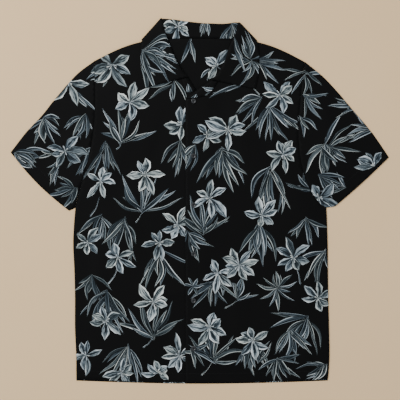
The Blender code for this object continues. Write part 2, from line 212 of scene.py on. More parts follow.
def within(x, y, outline):
    """Which points lie inside a closed outline."""
    inside = np.zeros(len(x), bool)
    after = np.roll(outline, -1, axis=0)
    for (x0, y0), (x1, y1) in zip(outline, after):
        if y0 != y1:
            crosses = ((y0 > y) != (y1 > y)) & (x < x0 + (x1 - x0) * (y - y0) / (y1 - y0))
            inside ^= crosses
    return inside


def edge_depth(x, y):
    """How far inside the shirt's outline each point is."""
    closed = np.vstack([OUTLINE, OUTLINE[:1]])
    return reach_to(x, y, closed) * within(x, y, OUTLINE)


def creases(x, y, table):
    """The height of a table of creases at each point."""
    height = np.zeros(len(x))
    for crease in (Crease(*row) for row in table):
        turn = math.radians(crease.angle)
        along = (x - crease.x) * math.cos(turn) + (y - crease.y) * math.sin(turn)
        across = (y - crease.y) * math.cos(turn) - (x - crease.x) * math.sin(turn)
        across = across - crease.bow * along**2 / crease.length * 2.0
        fade = np.clip(1.0 - (2.0 * along / crease.length) ** 2, 0.0, 1.0) ** 1.5
        reach = np.where(across > 0.0, crease.width, crease.width * STEEP_TO_GENTLE)
        height += crease.height * fade * np.exp(-((across / reach) ** 2))
    return height


LIFT_FROM_Y, LIFT_RUN_Y = 280.0, 60.0
LIFT_FROM_X, LIFT_RUN_X = 225.0, 87.0


def collar_lift(x, y):
    """How far the back is raised over the part of the collar that lies under it."""
    up_the_back = smooth((y - LIFT_FROM_Y) / LIFT_RUN_Y)
    from_shoulders = smooth((LIFT_FROM_X - np.abs(x)) / LIFT_RUN_X)
    return LAYER * up_the_back * from_shoulders


def back_height(x, y):
    """Middle of the wall of the back."""
    flat = smooth(edge_depth(x, y) / BACK_FLAT_RIM)
    ridges = np.clip(creases(x, y, BACK_CREASES), 0.0, MOST_BACK_CREASE)
    return BACK_MID + collar_lift(x, y) + flat * ridges


# The print is drawn in petals: each has a spine, a width along it, a tone and a seed.
# A leaf's tone is 0.4 to 0.6 and a flower's is above 0.64.
Petal = namedtuple("Petal", "spine widths outline tone seed")
SHADE_TONE = -1.0  # the wide slate shade under a spray
GAP_TONE = -0.5  # the thin dark gap that parts a petal from the ones under it


PETAL_STEPS = 15
FOOT = 0.2  # width of a petal's foot, as a share of its full width
RUFFLE = 0.09  # waves along the rim of a flower's petal
THINNEST = 0.2


def petal(x, y, turn, length, width, bend, shape, tone, seed, sway=0.0):
    """A petal, leaf or stem that starts at x, y and heads for turn, in degrees.  It
    bends steadily, and sways to one side and back."""
    u = np.linspace(0.0, 1.0, PETAL_STEPS)
    heading = np.radians(turn + bend * u + sway * np.sin(u * 2.0 * np.pi))
    run = np.column_stack([np.cos(heading), np.sin(heading)]) * length / (PETAL_STEPS - 1)
    spine = np.vstack([[0.0, 0.0], np.cumsum((run[1:] + run[:-1]) / 2, axis=0)]) + (x, y)
    ruffle = 0.0
    if shape == "bloom":  # fullest past its middle, then drawn in to a short point
        half = np.sin(np.pi * u**1.2) ** 0.95 * (1.0 - 0.3 * smooth((u - 0.65) / 0.35))
        half = np.maximum(half, FOOT * (1.0 - u))
        ruffle = RUFFLE * (u > 0.35)
    elif shape == "leaf":  # fullest before its middle, with a long point
        half = np.maximum(np.sin(np.pi * u**0.85), FOOT * (1.0 - u))
    else:  # a stalk that thickens as it goes
        half = 0.4 + 0.6 * u
    half = half * width / 2
    near_side = half * (1.0 + ruffle * np.sin(u * 17.0 + seed * 40.0))
    far_side = half * (1.0 + ruffle * np.sin(u * 21.0 + seed * 71.0))
    out = np.column_stack([-np.sin(heading), np.cos(heading)])
    left = spine + out * near_side[:, None]
    right = spine - out * far_side[:, None]
    outline = np.vstack([right[:-1], spine[-1:], left[-2::-1]])
    return Petal(spine, np.maximum(half, THINNEST), outline, tone, seed)


FULL_ROUND = 300.0  # a spread wider than this goes all the way round
FORESHORTENED = 0.2  # petals towards the side a flower faces come out longer
CROWDED = 8.0  # degrees that petals crowd towards its other two sides
PETAL_GAP = (1.03, 1.16)  # the dark gap's length and width, against the petal's
STAMEN = (2.2, 1.4)  # width and tone


def bloom(row, chance):
    """An open flower: pointed petals that lap over one another round a pale heart."""
    drawn = []
    count = row.count
    whole = row.spread > FULL_ROUND
    step = row.spread / (count if whole else max(count - 1, 1))
    start = row.turn - (0 if whole else row.spread / 2)
    order = [i for i in range(count) if i % 2] + [i for i in range(count) if not i % 2]
    faces = chance.uniform(0.0, 360.0)
    for i in order:
        heading = start + step * i + chance.uniform(-12, 12)
        from_faces = math.radians(heading - faces)
        heading -= CROWDED * math.sin(2.0 * from_faces)
        nearer = 1.0 + FORESHORTENED * math.cos(from_faces)
        length = row.size * chance.uniform(0.9, 1.2) * nearer
        width = row.size * chance.uniform(0.33, 0.5)
        bend = chance.choice((-1, 1)) * chance.uniform(4, 38)
        sway = chance.uniform(-9, 9)
        tone = row.tone * chance.uniform(0.84, 1.1)
        seed = chance.random()
        for long, wide, layer_tone in ((*PETAL_GAP, GAP_TONE), (1.0, 1.0, tone)):
            shape = (length * long, width * wide, bend, "bloom", layer_tone)
            drawn.append(petal(row.x, row.y, heading, *shape, seed, sway))
    for i in range(count - 1):
        heading = start + step * (i + 0.5) + chance.uniform(-16, 16)
        length = row.size * chance.uniform(0.16, 0.36)
        shape = (length, STAMEN[0], chance.uniform(-30, 30), "stem", STAMEN[1])
        drawn.append(petal(row.x, row.y, heading, *shape, chance.random()))
    return drawn


OUTER_BEND = 1.5  # outer blades curve away by this much of a spray's bend
BLADE_SHADE = (0.95, 2.1, 0.0)  # length and width against the blade's, and added width
BLADE_GAP = (1.02, 1.0, 3.4)


def spray(row, chance):
    """Slender blades that leave a short stem and curve on, over the dark shade under them."""
    leaves = []
    shade = []
    count = row.count + row.count // 4
    order = list(range(count))
    chance.shuffle(order)
    ahead = (math.cos(math.radians(row.turn)), math.sin(math.radians(row.turn)))
    for i in order:
        off = 2.0 * i / (count - 1) - 1.0  # from -1 on one side to 1 on the other
        heading = row.turn + off * row.spread / 2 + chance.uniform(-9, 9)
        away = chance.uniform(0.0, 0.26) * row.size * (1.0 - 0.5 * abs(off))
        length = row.size * chance.uniform(0.62, 1.12) - away * 0.4
        bend = -abs(row.bend) * off * OUTER_BEND + chance.uniform(-30, 30)
        sway = chance.uniform(-18, 18)
        width = chance.uniform(4.5, 9.5) * (0.7 + row.size / 220.0)
        tone = row.tone * chance.uniform(0.7, 1.2)
        seed = chance.random()
        foot = (row.x + away * ahead[0], row.y + away * ahead[1])
        for layer, (long, wide, more), layer_tone in (
            (shade, BLADE_SHADE, SHADE_TONE),
            (leaves, BLADE_GAP, GAP_TONE),
            (leaves, (1.0, 1.0, 0.0), tone),
        ):
            shape = (length * long, width * wide + more, bend, "leaf", layer_tone)
            layer.append(petal(*foot, heading, *shape, seed, sway))
    return shade + leaves


STALK_WIDTH = 3.0
STALK_SWAY = 10.0


def stem(row, chance):
    """A bare stalk."""
    shape = (row.size, STALK_WIDTH, row.bend, "stem", row.tone)
    return [petal(row.x, row.y, row.turn, *shape, chance.random(), STALK_SWAY)]


Motif = namedtuple("Motif", "kind x y turn size count spread bend tone")
DRAW = {"bloom": bloom, "spray": spray, "stem": stem}


def drawn_print(rows, seed):
    """Petals in the order they are laid down: leaves and stems under the flowers."""
    layers = {"stem": [], "spray": [], "bloom": []}
    chance = random.Random(seed)
    for row in (Motif(*values) for values in rows):
        layers[row.kind] += DRAW[row.kind](row, chance)
    shade = [p for p in layers["spray"] if p.tone == SHADE_TONE]
    leaves = [p for p in layers["spray"] if p.tone != SHADE_TONE]
    return shade + layers["stem"] + leaves + layers["bloom"]


def spine_place(points, drawn):
    """Each point's place in a petal: along its spine, and across it from -1 to 1."""
    start = drawn.spine[None, :-1]
    run = drawn.spine[None, 1:] - start
    offset = points[:, None, :] - start
    along = np.clip((offset * run).sum(2) / (run**2).sum(2), 0.0, 1.0)
    away = offset - along[..., None] * run
    reach = np.sqrt((away**2).sum(2))
    nearest = reach.argmin(1)
    rows = np.arange(len(points))
    segments = len(drawn.spine) - 1
    u = (nearest + along[rows, nearest]) / segments
    ahead, beside = run[0, nearest], away[rows, nearest]
    side = np.sign(ahead[:, 0] * beside[:, 1] - ahead[:, 1] * beside[:, 0])
    half = np.interp(u, np.linspace(0.0, 1.0, segments + 1), drawn.widths)
    return u, np.clip(side * reach[rows, nearest] / half, -1.0, 1.0)


ROW_STEP = 0.87  # rows this much of a step apart make even triangles
CLEAR_OF_EDGE = 0.35


def grid_points(outline, spacing):
    """Even rows of points inside an outline, half a step off in every other row."""
    low, high = outline.min(0), outline.max(0)
    rows = []
    for index, y in enumerate(np.arange(low[1], high[1], spacing * ROW_STEP)):
        x = np.arange(low[0] + (index % 2) * spacing / 2, high[0], spacing)
        rows.append(np.column_stack([x, np.full(len(x), y)]))
    points = np.vstack(rows)
    points = points[within(points[:, 0], points[:, 1], outline)]
    closed = np.vstack([outline, outline[:1]])
    return points[reach_to(points[:, 0], points[:, 1], closed) > spacing * CLEAR_OF_EDGE]


def new_object(name, data):
    """An object in the scene, with its origin at the frame's."""
    obj = bpy.data.objects.new(name, data)
    bpy.context.scene.collection.objects.link(obj)
    return obj


POINT_MERGE = 0.02


def cut_and_print(name, outline, place, petals, guides=()):
    """A cut piece of printed cloth: the petals are cut into the cloth's own faces,
    so that each face knows where it lies in its petal."""
    low, high = outline.min(0), outline.max(0)
    petals = [p for p in petals if (p.outline.max(0) > low).all()]
    petals = [p for p in petals if (p.outline.min(0) < high).all()]
    points = []
    edges = []
    count = 0
    for ring in [outline] + [p.outline for p in petals]:
        points.append(ring)
        edges += [(count + i, count + (i + 1) % len(ring)) for i in range(len(ring))]
        count += len(ring)
    points.append(grid_points(outline, GRID))
    points = [tuple(p) for p in np.vstack([*points, *guides])]
    made = delaunay_2d_cdt(points, edges, [], 0, POINT_MERGE, False)
    xy = np.array([tuple(p) for p in made[0]])
    corners = np.array(made[2])
    centres = xy[corners].mean(1)
    kept = within(centres[:, 0], centres[:, 1], outline)
    corners = corners[kept]
    centres = centres[kept]
    # A face belongs to the last petal laid over it.
    owners = np.full(len(corners), -1)
    for index, drawn in enumerate(petals):
        near = ((centres > drawn.outline.min(0)) & (centres < drawn.outline.max(0))).all(1)
        near = np.nonzero(near)[0]
        covered = within(centres[near, 0], centres[near, 1], drawn.outline)
        owners[near[covered]] = index
    place_in_petal = np.zeros((len(corners), 3, 2))
    paint = np.zeros((len(corners), 3, 2))
    for index, drawn in enumerate(petals):
        mine = owners == index
        if mine.any():
            u, v = spine_place(xy[corners[mine]].reshape(-1, 2), drawn)
            place_in_petal[mine] = np.column_stack([u, v]).reshape(-1, 3, 2)
            paint[mine] = (drawn.tone, drawn.seed)
    used, corners = np.unique(corners, return_inverse=True)
    corners = corners.reshape(-1, 3)
    mesh = bpy.data.meshes.new(name)
    mesh.from_pydata((place(xy[used]) * MM).tolist(), [], corners.tolist())
    mesh.uv_layers.new(name="petal").data.foreach_set("uv", place_in_petal.ravel())
    mesh.uv_layers.new(name="paint").data.foreach_set("uv", paint.ravel())
    mesh.update()
    mesh.shade_smooth()
    obj = new_object(name, mesh)
    shell = obj.modifiers.new("cloth", "SOLIDIFY")
    shell.thickness = CLOTH * MM
    shell.offset = 0.0
    return obj


def colour(text):
    """An sRGB hex colour as linear red, green, blue and 1."""
    parts = [int(text[i : i + 2], 16) / 255 for i in (1, 3, 5)]
    return (*[c / 12.92 if c <= 0.04045 else ((c + 0.055) / 1.055) ** 2.4 for c in parts], 1.0)


def add(tree, kind, inputs=None, **settings):
    """One node with its settings, and its inputs by name or number: each a value, a
    socket, or a node whose first output it takes."""
    node = tree.nodes.new(kind)
    for key, value in settings.items():
        setattr(node, key, value)
    for key, value in (inputs or {}).items():
        if isinstance(value, bpy.types.Node):
            value = value.outputs[0]
        if isinstance(value, bpy.types.NodeSocket):
            tree.links.new(value, node.inputs[key])
        else:
            node.inputs[key].default_value = value
    return node


def new_material(name, constants):
    """A material, its nodes and its shader, with the shader's own constants set."""
    material = bpy.data.materials.new(name)
    material.use_nodes = True
    shader = material.node_tree.nodes["Principled BSDF"]
    for label, value in constants.items():
        shader.inputs[label].default_value = value
    return material, material.node_tree, shader


WEAVE = 0.9


def printed_rayon():
    """Plain-weave rayon, piece-dyed black and printed in greys: a close, smooth cloth
    with a soft sheen.  Each petal has a pale outline and brushed streaks along it."""
    material, tree, shader = new_material(
        "plain_weave_rayon_printed",
        {"Specular IOR Level": 0.12, "Sheen Weight": 0.02, "Sheen Roughness": 0.5, "IOR": 1.47},
    )
    place = add(tree, "ShaderNodeUVMap", uv_map="petal")
    place = add(tree, "ShaderNodeSeparateXYZ", {0: place})
    paint = add(tree, "ShaderNodeUVMap", uv_map="paint")
    paint = add(tree, "ShaderNodeSeparateXYZ", {0: paint})
    along, across = place.outputs[0], place.outputs[1]
    tone, seed = paint.outputs[0], paint.outputs[1]
    coords = add(tree, "ShaderNodeTexCoord").outputs["Object"]

    # Brushed streaks: long along the petal and fine across it, new in each petal.
    brush = add(tree, "ShaderNodeCombineXYZ", {0: along, 1: across, 2: seed})
    brush = add(tree, "ShaderNodeVectorMath", {0: brush, 1: (0.9, 1.5, 57.0)}, operation="MULTIPLY")
    brushed = {"Vector": brush, "Scale": 1.5, "Detail": 3.0, "Roughness": 0.72}
    brushed = add(tree, "ShaderNodeTexNoise", brushed)
    # One edge of a petal catches the light; the other is only traced.
    side = {0: seed, 1: 0.499, 2: 0.501, 3: -1.0, 4: 1.0}
    side = add(tree, "ShaderNodeMapRange", side, interpolation_type="SMOOTHSTEP")
    facing = add(tree, "ShaderNodeMath", {0: across, 1: side}, operation="MULTIPLY")
    rim = add(tree, "ShaderNodeMath", {0: across}, operation="ABSOLUTE")
    # The greys are not all one: some petals are printed cooler, some greener.
    hue = add(tree, "ShaderNodeMath", {0: seed, 1: 7.3}, operation="MULTIPLY")
    hue = add(tree, "ShaderNodeMath", {0: hue}, operation="FRACT")
    # Painted shade: the black ground is painted a little lighter and darker in soft random patches,
    # standing in for the faint shade of the drape.
    patches = add(tree, "ShaderNodeTexNoise", {"Vector": coords, "Scale": 9.0, "Detail": 3.0})

    marks = {}
    for mark, value, low, high, at_low, at_high in (
        ("streak", brushed, 0.44, 0.57, 0.0, 1.0),
        ("lit edge", facing, 0.4, 0.85, 0.0, 1.0),
        ("far edge", facing, -0.6, -0.9, 0.0, 1.0),
        ("vein", rim, 0.0, 0.22, 1.0, 0.0),
        ("tip", along, 0.4, 0.95, 0.0, 1.0),
        ("heart", along, 0.06, 0.5, 1.0, 0.0),
        ("flower", tone, 0.6, 0.64, 0.0, 1.0),
        ("cool to green", hue, 0.2, 0.8, 0.0, 1.0),
        # painted shade: soft random patches that lighten and darken the black ground
        ("patchy painted shade", patches, 0.3, 0.7, 0.0, 1.0),
        ("roughness", patches, 0.3, 0.7, 0.62, 0.72),
        ("shade across", rim, 0.25, 0.98, 0.8, 0.0),
        ("shade along", along, 0.0, 0.06, 0.0, 1.0),
    ):
        span = {0: value, 1: low, 2: high, 3: at_low, 4: at_high}
        marks[mark] = add(tree, "ShaderNodeMapRange", span, interpolation_type="SMOOTHSTEP")

    # How strongly each mark lightens a leaf, and a flower's petal.
    leaf, flower = -0.021, 0.15
    for mark, in_leaf, in_flower in (
        ("lit edge", 1.176, 0.50),
        ("far edge", 0.63, 0.26),
        ("streak", 0.651, 0.50),
        ("tip", 0.252, 0.12),
        ("heart", -0.105, -0.22),
        ("vein", 0.0, -0.16),
    ):
        leaf = {0: marks[mark], 1: in_leaf, 2: leaf}
        leaf = add(tree, "ShaderNodeMath", leaf, operation="MULTIPLY_ADD")
        flower = {0: marks[mark], 1: in_flower, 2: flower}
        flower = add(tree, "ShaderNodeMath", flower, operation="MULTIPLY_ADD")
    body = add(tree, "ShaderNodeMix", {0: marks["flower"], 2: leaf, 3: flower})
    body = add(tree, "ShaderNodeMath", {0: body, 1: tone}, operation="MULTIPLY")
    greys = add(tree, "ShaderNodeValToRGB", {0: body})
    stops = greys.color_ramp.elements
    stops[0].color = colour("#0c1216")
    stops[1].color = colour("#eef4f2")
    for position, grey in ((0.2, "#2b373d"), (0.42, "#667277"), (0.7, "#b9c4c3")):
        stops.new(position).color = colour(grey)

    shaded = {0: marks["shade across"], 1: marks["shade along"]}
    shaded = add(tree, "ShaderNodeMath", shaded, operation="MULTIPLY")
    tints = {}
    for name, factor, first, second in (
        ("wash", marks["cool to green"], "#e3ecff", "#fff9ea"),
        # the black ground, with its painted shade in patches
        ("ground", marks["patchy painted shade"], "#010101", "#050505"),
    ):
        tint = {0: factor, 6: colour(first), 7: colour(second)}
        tints[name] = add(tree, "ShaderNodeMix", tint, data_type="RGBA").outputs[2]
    washed = {0: 0.3, 6: greys, 7: tints["wash"]}
    washed = add(tree, "ShaderNodeMix", washed, data_type="RGBA", blend_type="MULTIPLY").outputs[2]
    slate = {0: shaded, 6: tints["ground"], 7: colour("#0d151a")}
    slate = add(tree, "ShaderNodeMix", slate, data_type="RGBA").outputs[2]
    # Over the black ground: the petals, the slate shade under them, and the dark gaps.
    cloth = tints["ground"]
    for test, limit, reach, over in (
        ("GREATER_THAN", 0.01, 0.0, washed),
        ("LESS_THAN", -0.01, 0.0, slate),
        ("COMPARE", GAP_TONE, 0.1, colour("#070a0c")),
    ):
        there = add(tree, "ShaderNodeMath", {0: tone, 1: limit, 2: reach}, operation=test)
        cloth = {0: there, 6: cloth, 7: over}
        cloth = add(tree, "ShaderNodeMix", cloth, data_type="RGBA").outputs[2]

    # Threads lie about 0.3 mm apart, too fine to show, so the weave is drawn at 0.9 mm.
    threads = add(tree, "ShaderNodeMapping", {0: coords, 3: (1.0 / (WEAVE * MM),) * 3})
    ways = [
        add(tree, "ShaderNodeTexWave", {"Vector": threads, "Scale": 0.32}, bands_direction=way)
        for way in ("X", "Y")
    ]
    weave = {0: ways[0].outputs[1], 1: ways[1].outputs[1]}
    weave = add(tree, "ShaderNodeMath", weave, operation="MULTIPLY")
    bump = add(tree, "ShaderNodeBump", {"Strength": 0.25, "Distance": 0.0002, "Height": weave})
    tree.links.new(cloth, shader.inputs["Base Color"])
    tree.links.new(bump.outputs[0], shader.inputs["Normal"])
    tree.links.new(marks["roughness"].outputs[0], shader.inputs["Roughness"])
    return material


RAYON = printed_rayon()
PRINT_REPEAT = (318.0, 288.0)


def sew_on(piece, node):
    """The piece takes the place of its solid, in the printed rayon, and is attached to the root."""
    piece.data.materials.append(RAYON)
    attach(piece, "root")
    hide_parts(node)


# One repeat of the print, as it runs over the pieces that lie out of sight: each row
# is a motif's kind, x, y, turn, size, count, spread, bend and tone.
REPEAT_PRINT = (
    ("spray", 40, 62, 90, 84, 8, 150, -12, 0.45),
    ("bloom", 44, 140, 95, 40, 6, 360, 0, 0.95),
    ("stem", 40, 62, 235, 26, 1, 0, 10, 0.5),
    ("spray", 150, 250, 265, 92, 8, 100, 14, 0.42),
    ("bloom", 142, 170, 20, 34, 6, 360, 0, 0.85),
    ("spray", 152, 74, 250, 60, 6, 130, 10, 0.4),
    ("bloom", 236, 60, 80, 36, 6, 360, 0, 0.9),
    ("bloom", 268, 88, 30, 31, 6, 360, 0, 0.95),
    ("spray", 260, 205, 60, 48, 7, 320, 10, 0.45),
    ("bloom", 60, 250, 60, 33, 6, 360, 0, 0.8),
)


def repeated(rows, low, high, shift):
    """The repeat laid side by side over a box, with every other column dropped by half."""
    wide, tall = PRINT_REPEAT
    laid = []
    for i in range(math.floor(low[0] / wide) - 1, math.ceil(high[0] / wide) + 1):
        for j in range(math.floor(low[1] / tall) - 2, math.ceil(high[1] / tall) + 1):
            for row in (Motif(*values) for values in rows):
                x = row.x + i * wide + shift[0]
                y = row.y + j * tall + shift[1] + (i % 2) * tall / 2
                laid.append(row._replace(x=x, y=y))
    return laid


def laid_at(height):
    """Puts a piece's flat points on the shirt as it lies."""
    return lambda xy: np.column_stack([xy, height(xy[:, 0], xy[:, 1])])


back_outline = joined(
    side_seam("right"),
    armhole_line("right", SEAM_GAP)[::-1],
    shoulder_line("right"),
    shoulder_line("left")[::-1],
    armhole_line("left", SEAM_GAP),
    side_seam("left")[::-1],
    hem_line(SIDE_SEAMS[0].left_x, SIDE_SEAMS[0].right_x, 0.0),
)
# What shows of its inner face in the neck opening.
NECK_PRINT = (
    ("spray", -20, 368, 268, 58, 3, 34, 4, 0.6),
    ("bloom", 38, 304, 165, 34, 4, 120, 0, 0.95),
    ("bloom", 38, 304, 48, 34, 2, 30, 0, 0.8),
    ("stem", 38, 304, 312, 34, 1, 0, 10, 0.5),
    ("spray", 22, 300, 250, 44, 2, 24, 6, 0.55),
)
OPENING_X, OPENING_Y = 150.0, 200.0
REPEAT_SHIFT = (20.0, -30.0)
back_rows = repeated(REPEAT_PRINT, back_outline.min(0), back_outline.max(0), REPEAT_SHIFT)
back_rows = [row for row in back_rows if abs(row.x) > OPENING_X or row.y < OPENING_Y]
back_rows += NECK_PRINT
back = cut_and_print("back_cloth", back_outline, laid_at(back_height), drawn_print(back_rows, 11))
sew_on(back, "back")

# -------------------------------------------------------------- the fronts
# Two fronts of the same rayon, each cut with the revers that turns back at the
# neck.  The wearer's left front laps over the right one and is buttoned to it.

CLOSURE_X = -14.0
LAP = 18.5
LAP_EASE = 40.0
LAP_RISE = 1.6
ROLL_FOOT_Y = 231.0
FRONT_MID = 1.8  # where a front lies flat on the back
AIR = 2.4  # slack between back and fronts, away from the edges
AIR_REACH = 70.0
OVER_COLLAR = 1.2  # the fronts are raised over the collar by this share of the back's lift
EDGE_CREASE = 0.25  # how much of a crease is left at the shirt's edge
FRONT_CREASES = (
    (-205, 60, 62, 190, 13, 1.5, 0.10),
    (-160, -60, 96, 260, 17, 1.3, -0.06),
    (-232, -170, 81, 170, 11, 1.1, 0.05),
    (-95, 120, 74, 210, 15, -1, 0.08),
    (-120, -250, 88, 230, 14, 1.2, 0.04),
    (-70, -330, 100, 120, 10, -0.9, 0),
    (90, 150, 105, 240, 16, 1.4, -0.07),
    (190, 70, 118, 180, 12, 1.5, -0.10),
    (140, -70, 84, 250, 18, -1.1, 0.05),
    (215, -150, 95, 210, 13, 1.2, 0.06),
    (85, -240, 92, 280, 15, 1.3, -0.05),
    (235, -330, 85, 130, 10, 1, 0),
    (0, -200, 5, 330, 9, 0.7, 0.02),
    (20, 60, 176, 300, 9, 0.6, -0.02),
    (-300, 130, 47, 150, 13, 1.3, 0.12),
    (-345, 90, 60, 110, 10, -0.9, 0),
    (-290, 30, 30, 100, 9, 1, 0.08),
    (305, 140, 130, 160, 14, 1.4, -0.10),
    (350, 70, 118, 110, 10, 1, 0.05),
    (285, 40, 150, 95, 9, -0.8, 0),
)
NECK_SEAM = {
    "right": (
        (-31.5, 280.6), (-50.4, 293.9), (-66.4, 314.8), (-76.4, 336.7),
        (-81.9, 351.7), (-84.4, 360.9), (-NECK_X, NECK_Y),
    ),
    "left": (
        (31.5, 274.1), (52.4, 290.9), (67.4, 313.8), (76.4, 335.7),
        (81.9, 350.8), (84.4, 359.9), (NECK_X, NECK_Y),
    ),
}


def front_height(x, y):
    """Middle of the wall of a front or of a sleeve's upper side."""
    slack = smooth(edge_depth(x, y) / AIR_REACH)
    ridges = creases(x, y, FRONT_CREASES) * (EDGE_CREASE + (1.0 - EDGE_CREASE) * slack)
    return FRONT_MID + AIR * slack + OVER_COLLAR * collar_lift(x, y) + ridges


def left_front_height(x, y):
    """The left front, which steps up over the right one at the closure."""
    lap = LAP_RISE * (1.0 - smooth((x - CLOSURE_X - LAP - 1.0) / LAP_EASE))
    return front_height(x, y) + lap


FRONT_HEIGHT = {"right": front_height, "left": left_front_height}


def height_at(side, x, y):
    """The height of one point of a front."""
    return float(FRONT_HEIGHT[side](np.array([x]), np.array([y]))[0])


RIGHT_FRONT_PRINT = (
    ("spray", -177, 124, 84, 88, 10, 150, -14, 0.5),
    ("bloom", -157, 222, 98, 41, 6, 360, 0, 1),
    ("stem", -176, 126, 222, 16, 1, 0, 0, 0.5),
    ("spray", -130, -30, 88, 92, 10, 150, -12, 0.45),
    ("bloom", -123, 60, 62, 39, 6, 360, 0, 1.02),
    ("stem", -130, -28, 232, 26, 1, 0, 8, 0.5),
    ("spray", -104, -313, 90, 92, 9, 140, -12, 0.5),
    ("bloom", -104, -227, 80, 42, 6, 360, 0, 1),
    ("stem", -106, -310, 220, 30, 1, 0, 6, 0.55),
    ("spray", -211, 135, 262, 90, 9, 90, 24, 0.42),
    ("bloom", -222, 44, 48, 35, 6, 360, 0, 0.95),
    ("stem", -226, 8, 250, 50, 1, 0, -12, 0.5),
    ("spray", -220, -28, 268, 66, 7, 110, 20, 0.42),
    ("stem", -222, -30, 216, 74, 1, 0, 8, 0.5),
    ("bloom", -252, -94, 78, 31, 6, 360, 0, 0.8),
    ("spray", -167, -34, 263, 98, 8, 86, 22, 0.42),
    ("bloom", -184, -126, 92, 37, 6, 360, 0, 0.88),
    ("stem", -184, -130, 262, 66, 1, 0, -28, 0.6),
    ("spray", -242, -164, 262, 62, 6, 110, 16, 0.4),
    ("spray", -208, -200, 268, 94, 10, 120, 26, 0.42),
    ("bloom", -212, -270, 300, 36, 6, 300, 0, 0.85),
    ("bloom", -256, -347, 60, 34, 6, 360, 0, 0.82),
    ("spray", -161, -320, 262, 88, 9, 130, 30, 0.48),
    ("bloom", -175, -386, 40, 34, 6, 360, 0, 0.85),
    ("bloom", -46, -348, 86, 39, 7, 360, 0, 1),
    ("bloom", -94, -386, 84, 30, 6, 240, 0, 0.9),
    ("spray", -90, -108, 268, 92, 9, 130, 16, 0.5),
    ("bloom", -92, -94, 120, 35, 6, 360, 0, 0.82),
    ("bloom", -50, -54, 80, 39, 6, 360, 0, 0.95),
    ("spray", -42, 140, 262, 78, 6, 76, 10, 0.5),
    ("bloom", -40, 172, 172, 42, 5, 210, 0, 0.95),
    ("spray", -58, 274, 256, 66, 4, 110, 6, 0.62),
    ("stem", -30, 200, 80, 30, 1, 0, 20, 0.5),
)

LEFT_FRONT_PRINT = (
    ("spray", 8, -78, 82, 86, 11, 150, -12, 0.45),
    ("bloom", 22, 6, 92, 43, 6, 360, 0, 1.02),
    ("spray", 30, -366, 84, 96, 11, 150, -12, 0.5),
    ("bloom", 22, -284, 88, 43, 7, 360, 0, 1),
    ("stem", 28, -362, 228, 40, 1, 0, 6, 0.6),
    ("spray", 50, 122, 272, 90, 10, 130, 18, 0.5),
    ("bloom", 16, 148, 130, 32, 5, 300, 0, 0.75),
    ("bloom", 64, 160, 70, 44, 7, 360, 0, 0.95),
    ("spray", -8, 128, 236, 66, 4, 60, 8, 0.5),
    ("spray", 158, 80, 270, 104, 9, 90, 26, 0.48),
    ("bloom", 188, 104, 75, 37, 7, 360, 0, 0.88),
    ("spray", 132, -46, 270, 92, 8, 90, 20, 0.5),
    ("bloom", 140, -32, 66, 37, 6, 360, 0, 0.98),
    ("spray", 156, 218, 284, 88, 10, 130, 16, 0.5),
    ("spray", 142, 236, 214, 74, 5, 70, 8, 0.5),
    ("bloom", 180, 238, 80, 38, 7, 360, 0, 0.8),
    ("stem", 98, 268, 320, 50, 1, 0, 0, 0.5),
    ("spray", 98, 263, 203, 78, 3, 30, 6, 0.58),
    ("spray", 124, 316, 330, 64, 6, 120, 8, 0.6),
    ("bloom", 210, -128, 95, 38, 7, 360, 0, 0.8),
    ("stem", 211, -134, 282, 58, 1, 0, 8, 0.55),
    ("spray", 32, -176, 272, 72, 8, 160, 16, 0.5),
    ("bloom", 40, -162, 80, 36, 6, 360, 0, 0.95),
    ("bloom", 88, -144, 60, 41, 8, 360, 0, 0.92),
    ("spray", 82, -226, 70, 52, 6, 110, -10, 0.5),
    ("stem", 84, -224, 208, 34, 1, 0, 8, 0.5),
    ("spray", 170, -200, 40, 54, 11, 330, 8, 0.5),
    ("spray", 118, -318, 272, 70, 8, 110, 14, 0.48),
    ("bloom", 118, -313, 80, 36, 7, 360, 0, 0.9),
    ("spray", 130, -366, 68, 56, 3, 40, 6, 0.5),
    ("spray", 244, -258, 236, 88, 10, 160, 26, 0.5),
    ("spray", 202, -286, 270, 76, 8, 110, 16, 0.5),
    ("spray", 174, -350, 284, 66, 8, 170, 18, 0.46),
    ("bloom", 266, -218, 80, 35, 6, 360, 0, 0.85),
    ("spray", 284, -108, 246, 80, 6, 80, 18, 0.5),
    ("spray", 286, -366, 200, 62, 6, 90, 10, 0.5),
    ("spray", 238, -34, 274, 62, 7, 130, 12, 0.48),
    ("spray", 250, 20, 120, 56, 6, 120, 8, 0.48),
    ("spray", -30, -66, 300, 70, 6, 90, 20, 0.5),
    ("spray", -24, -330, 330, 60, 5, 90, 16, 0.5),
    ("spray", -16, -196, 90, 30, 5, 300, 6, 0.45),
)

# Printed across the armhole, on front and sleeve alike, where the cutter matched them.
ARMHOLE_PRINT = {
    "right": (
        ("spray", -202, 308, 236, 68, 3, 60, 8, 0.5),
        ("bloom", -198, 306, 266, 50, 6, 250, 0, 0.74),
    ),
    "left": (
        ("spray", 236, 292, 262, 62, 6, 190, 12, 0.52),
        ("spray", 226, 236, 318, 62, 7, 100, 8, 0.55),
        ("spray", 220, 190, 304, 50, 3, 40, 6, 0.55),
    ),
}


FRONT_HEM_RISE = 3.0  # the back's hem shows this much below the fronts'
EDGE_POINTS = 90
NECK_STEP = 5.0


def front_outline(side):
    """The outline of a front, from its edge along the hem and round to the neck."""
    edge_x = CLOSURE_X + INWARD[side] * LAP
    hem = hem_line(edge_x, getattr(SIDE_SEAMS[0], side + "_x"), FRONT_HEM_RISE)
    edge_y = np.linspace(ROLL_FOOT_Y, hem[0][1], EDGE_POINTS)
    down_edge = np.column_stack([np.full(EDGE_POINTS, edge_x), edge_y])
    return joined(
        hem,
        side_seam(side)[1:],
        armhole_line(side, SEAM_GAP)[::-1],
        shoulder_line(side),
        curve_through(NECK_SEAM[side], NECK_STEP)[::-1],
        down_edge,
    )


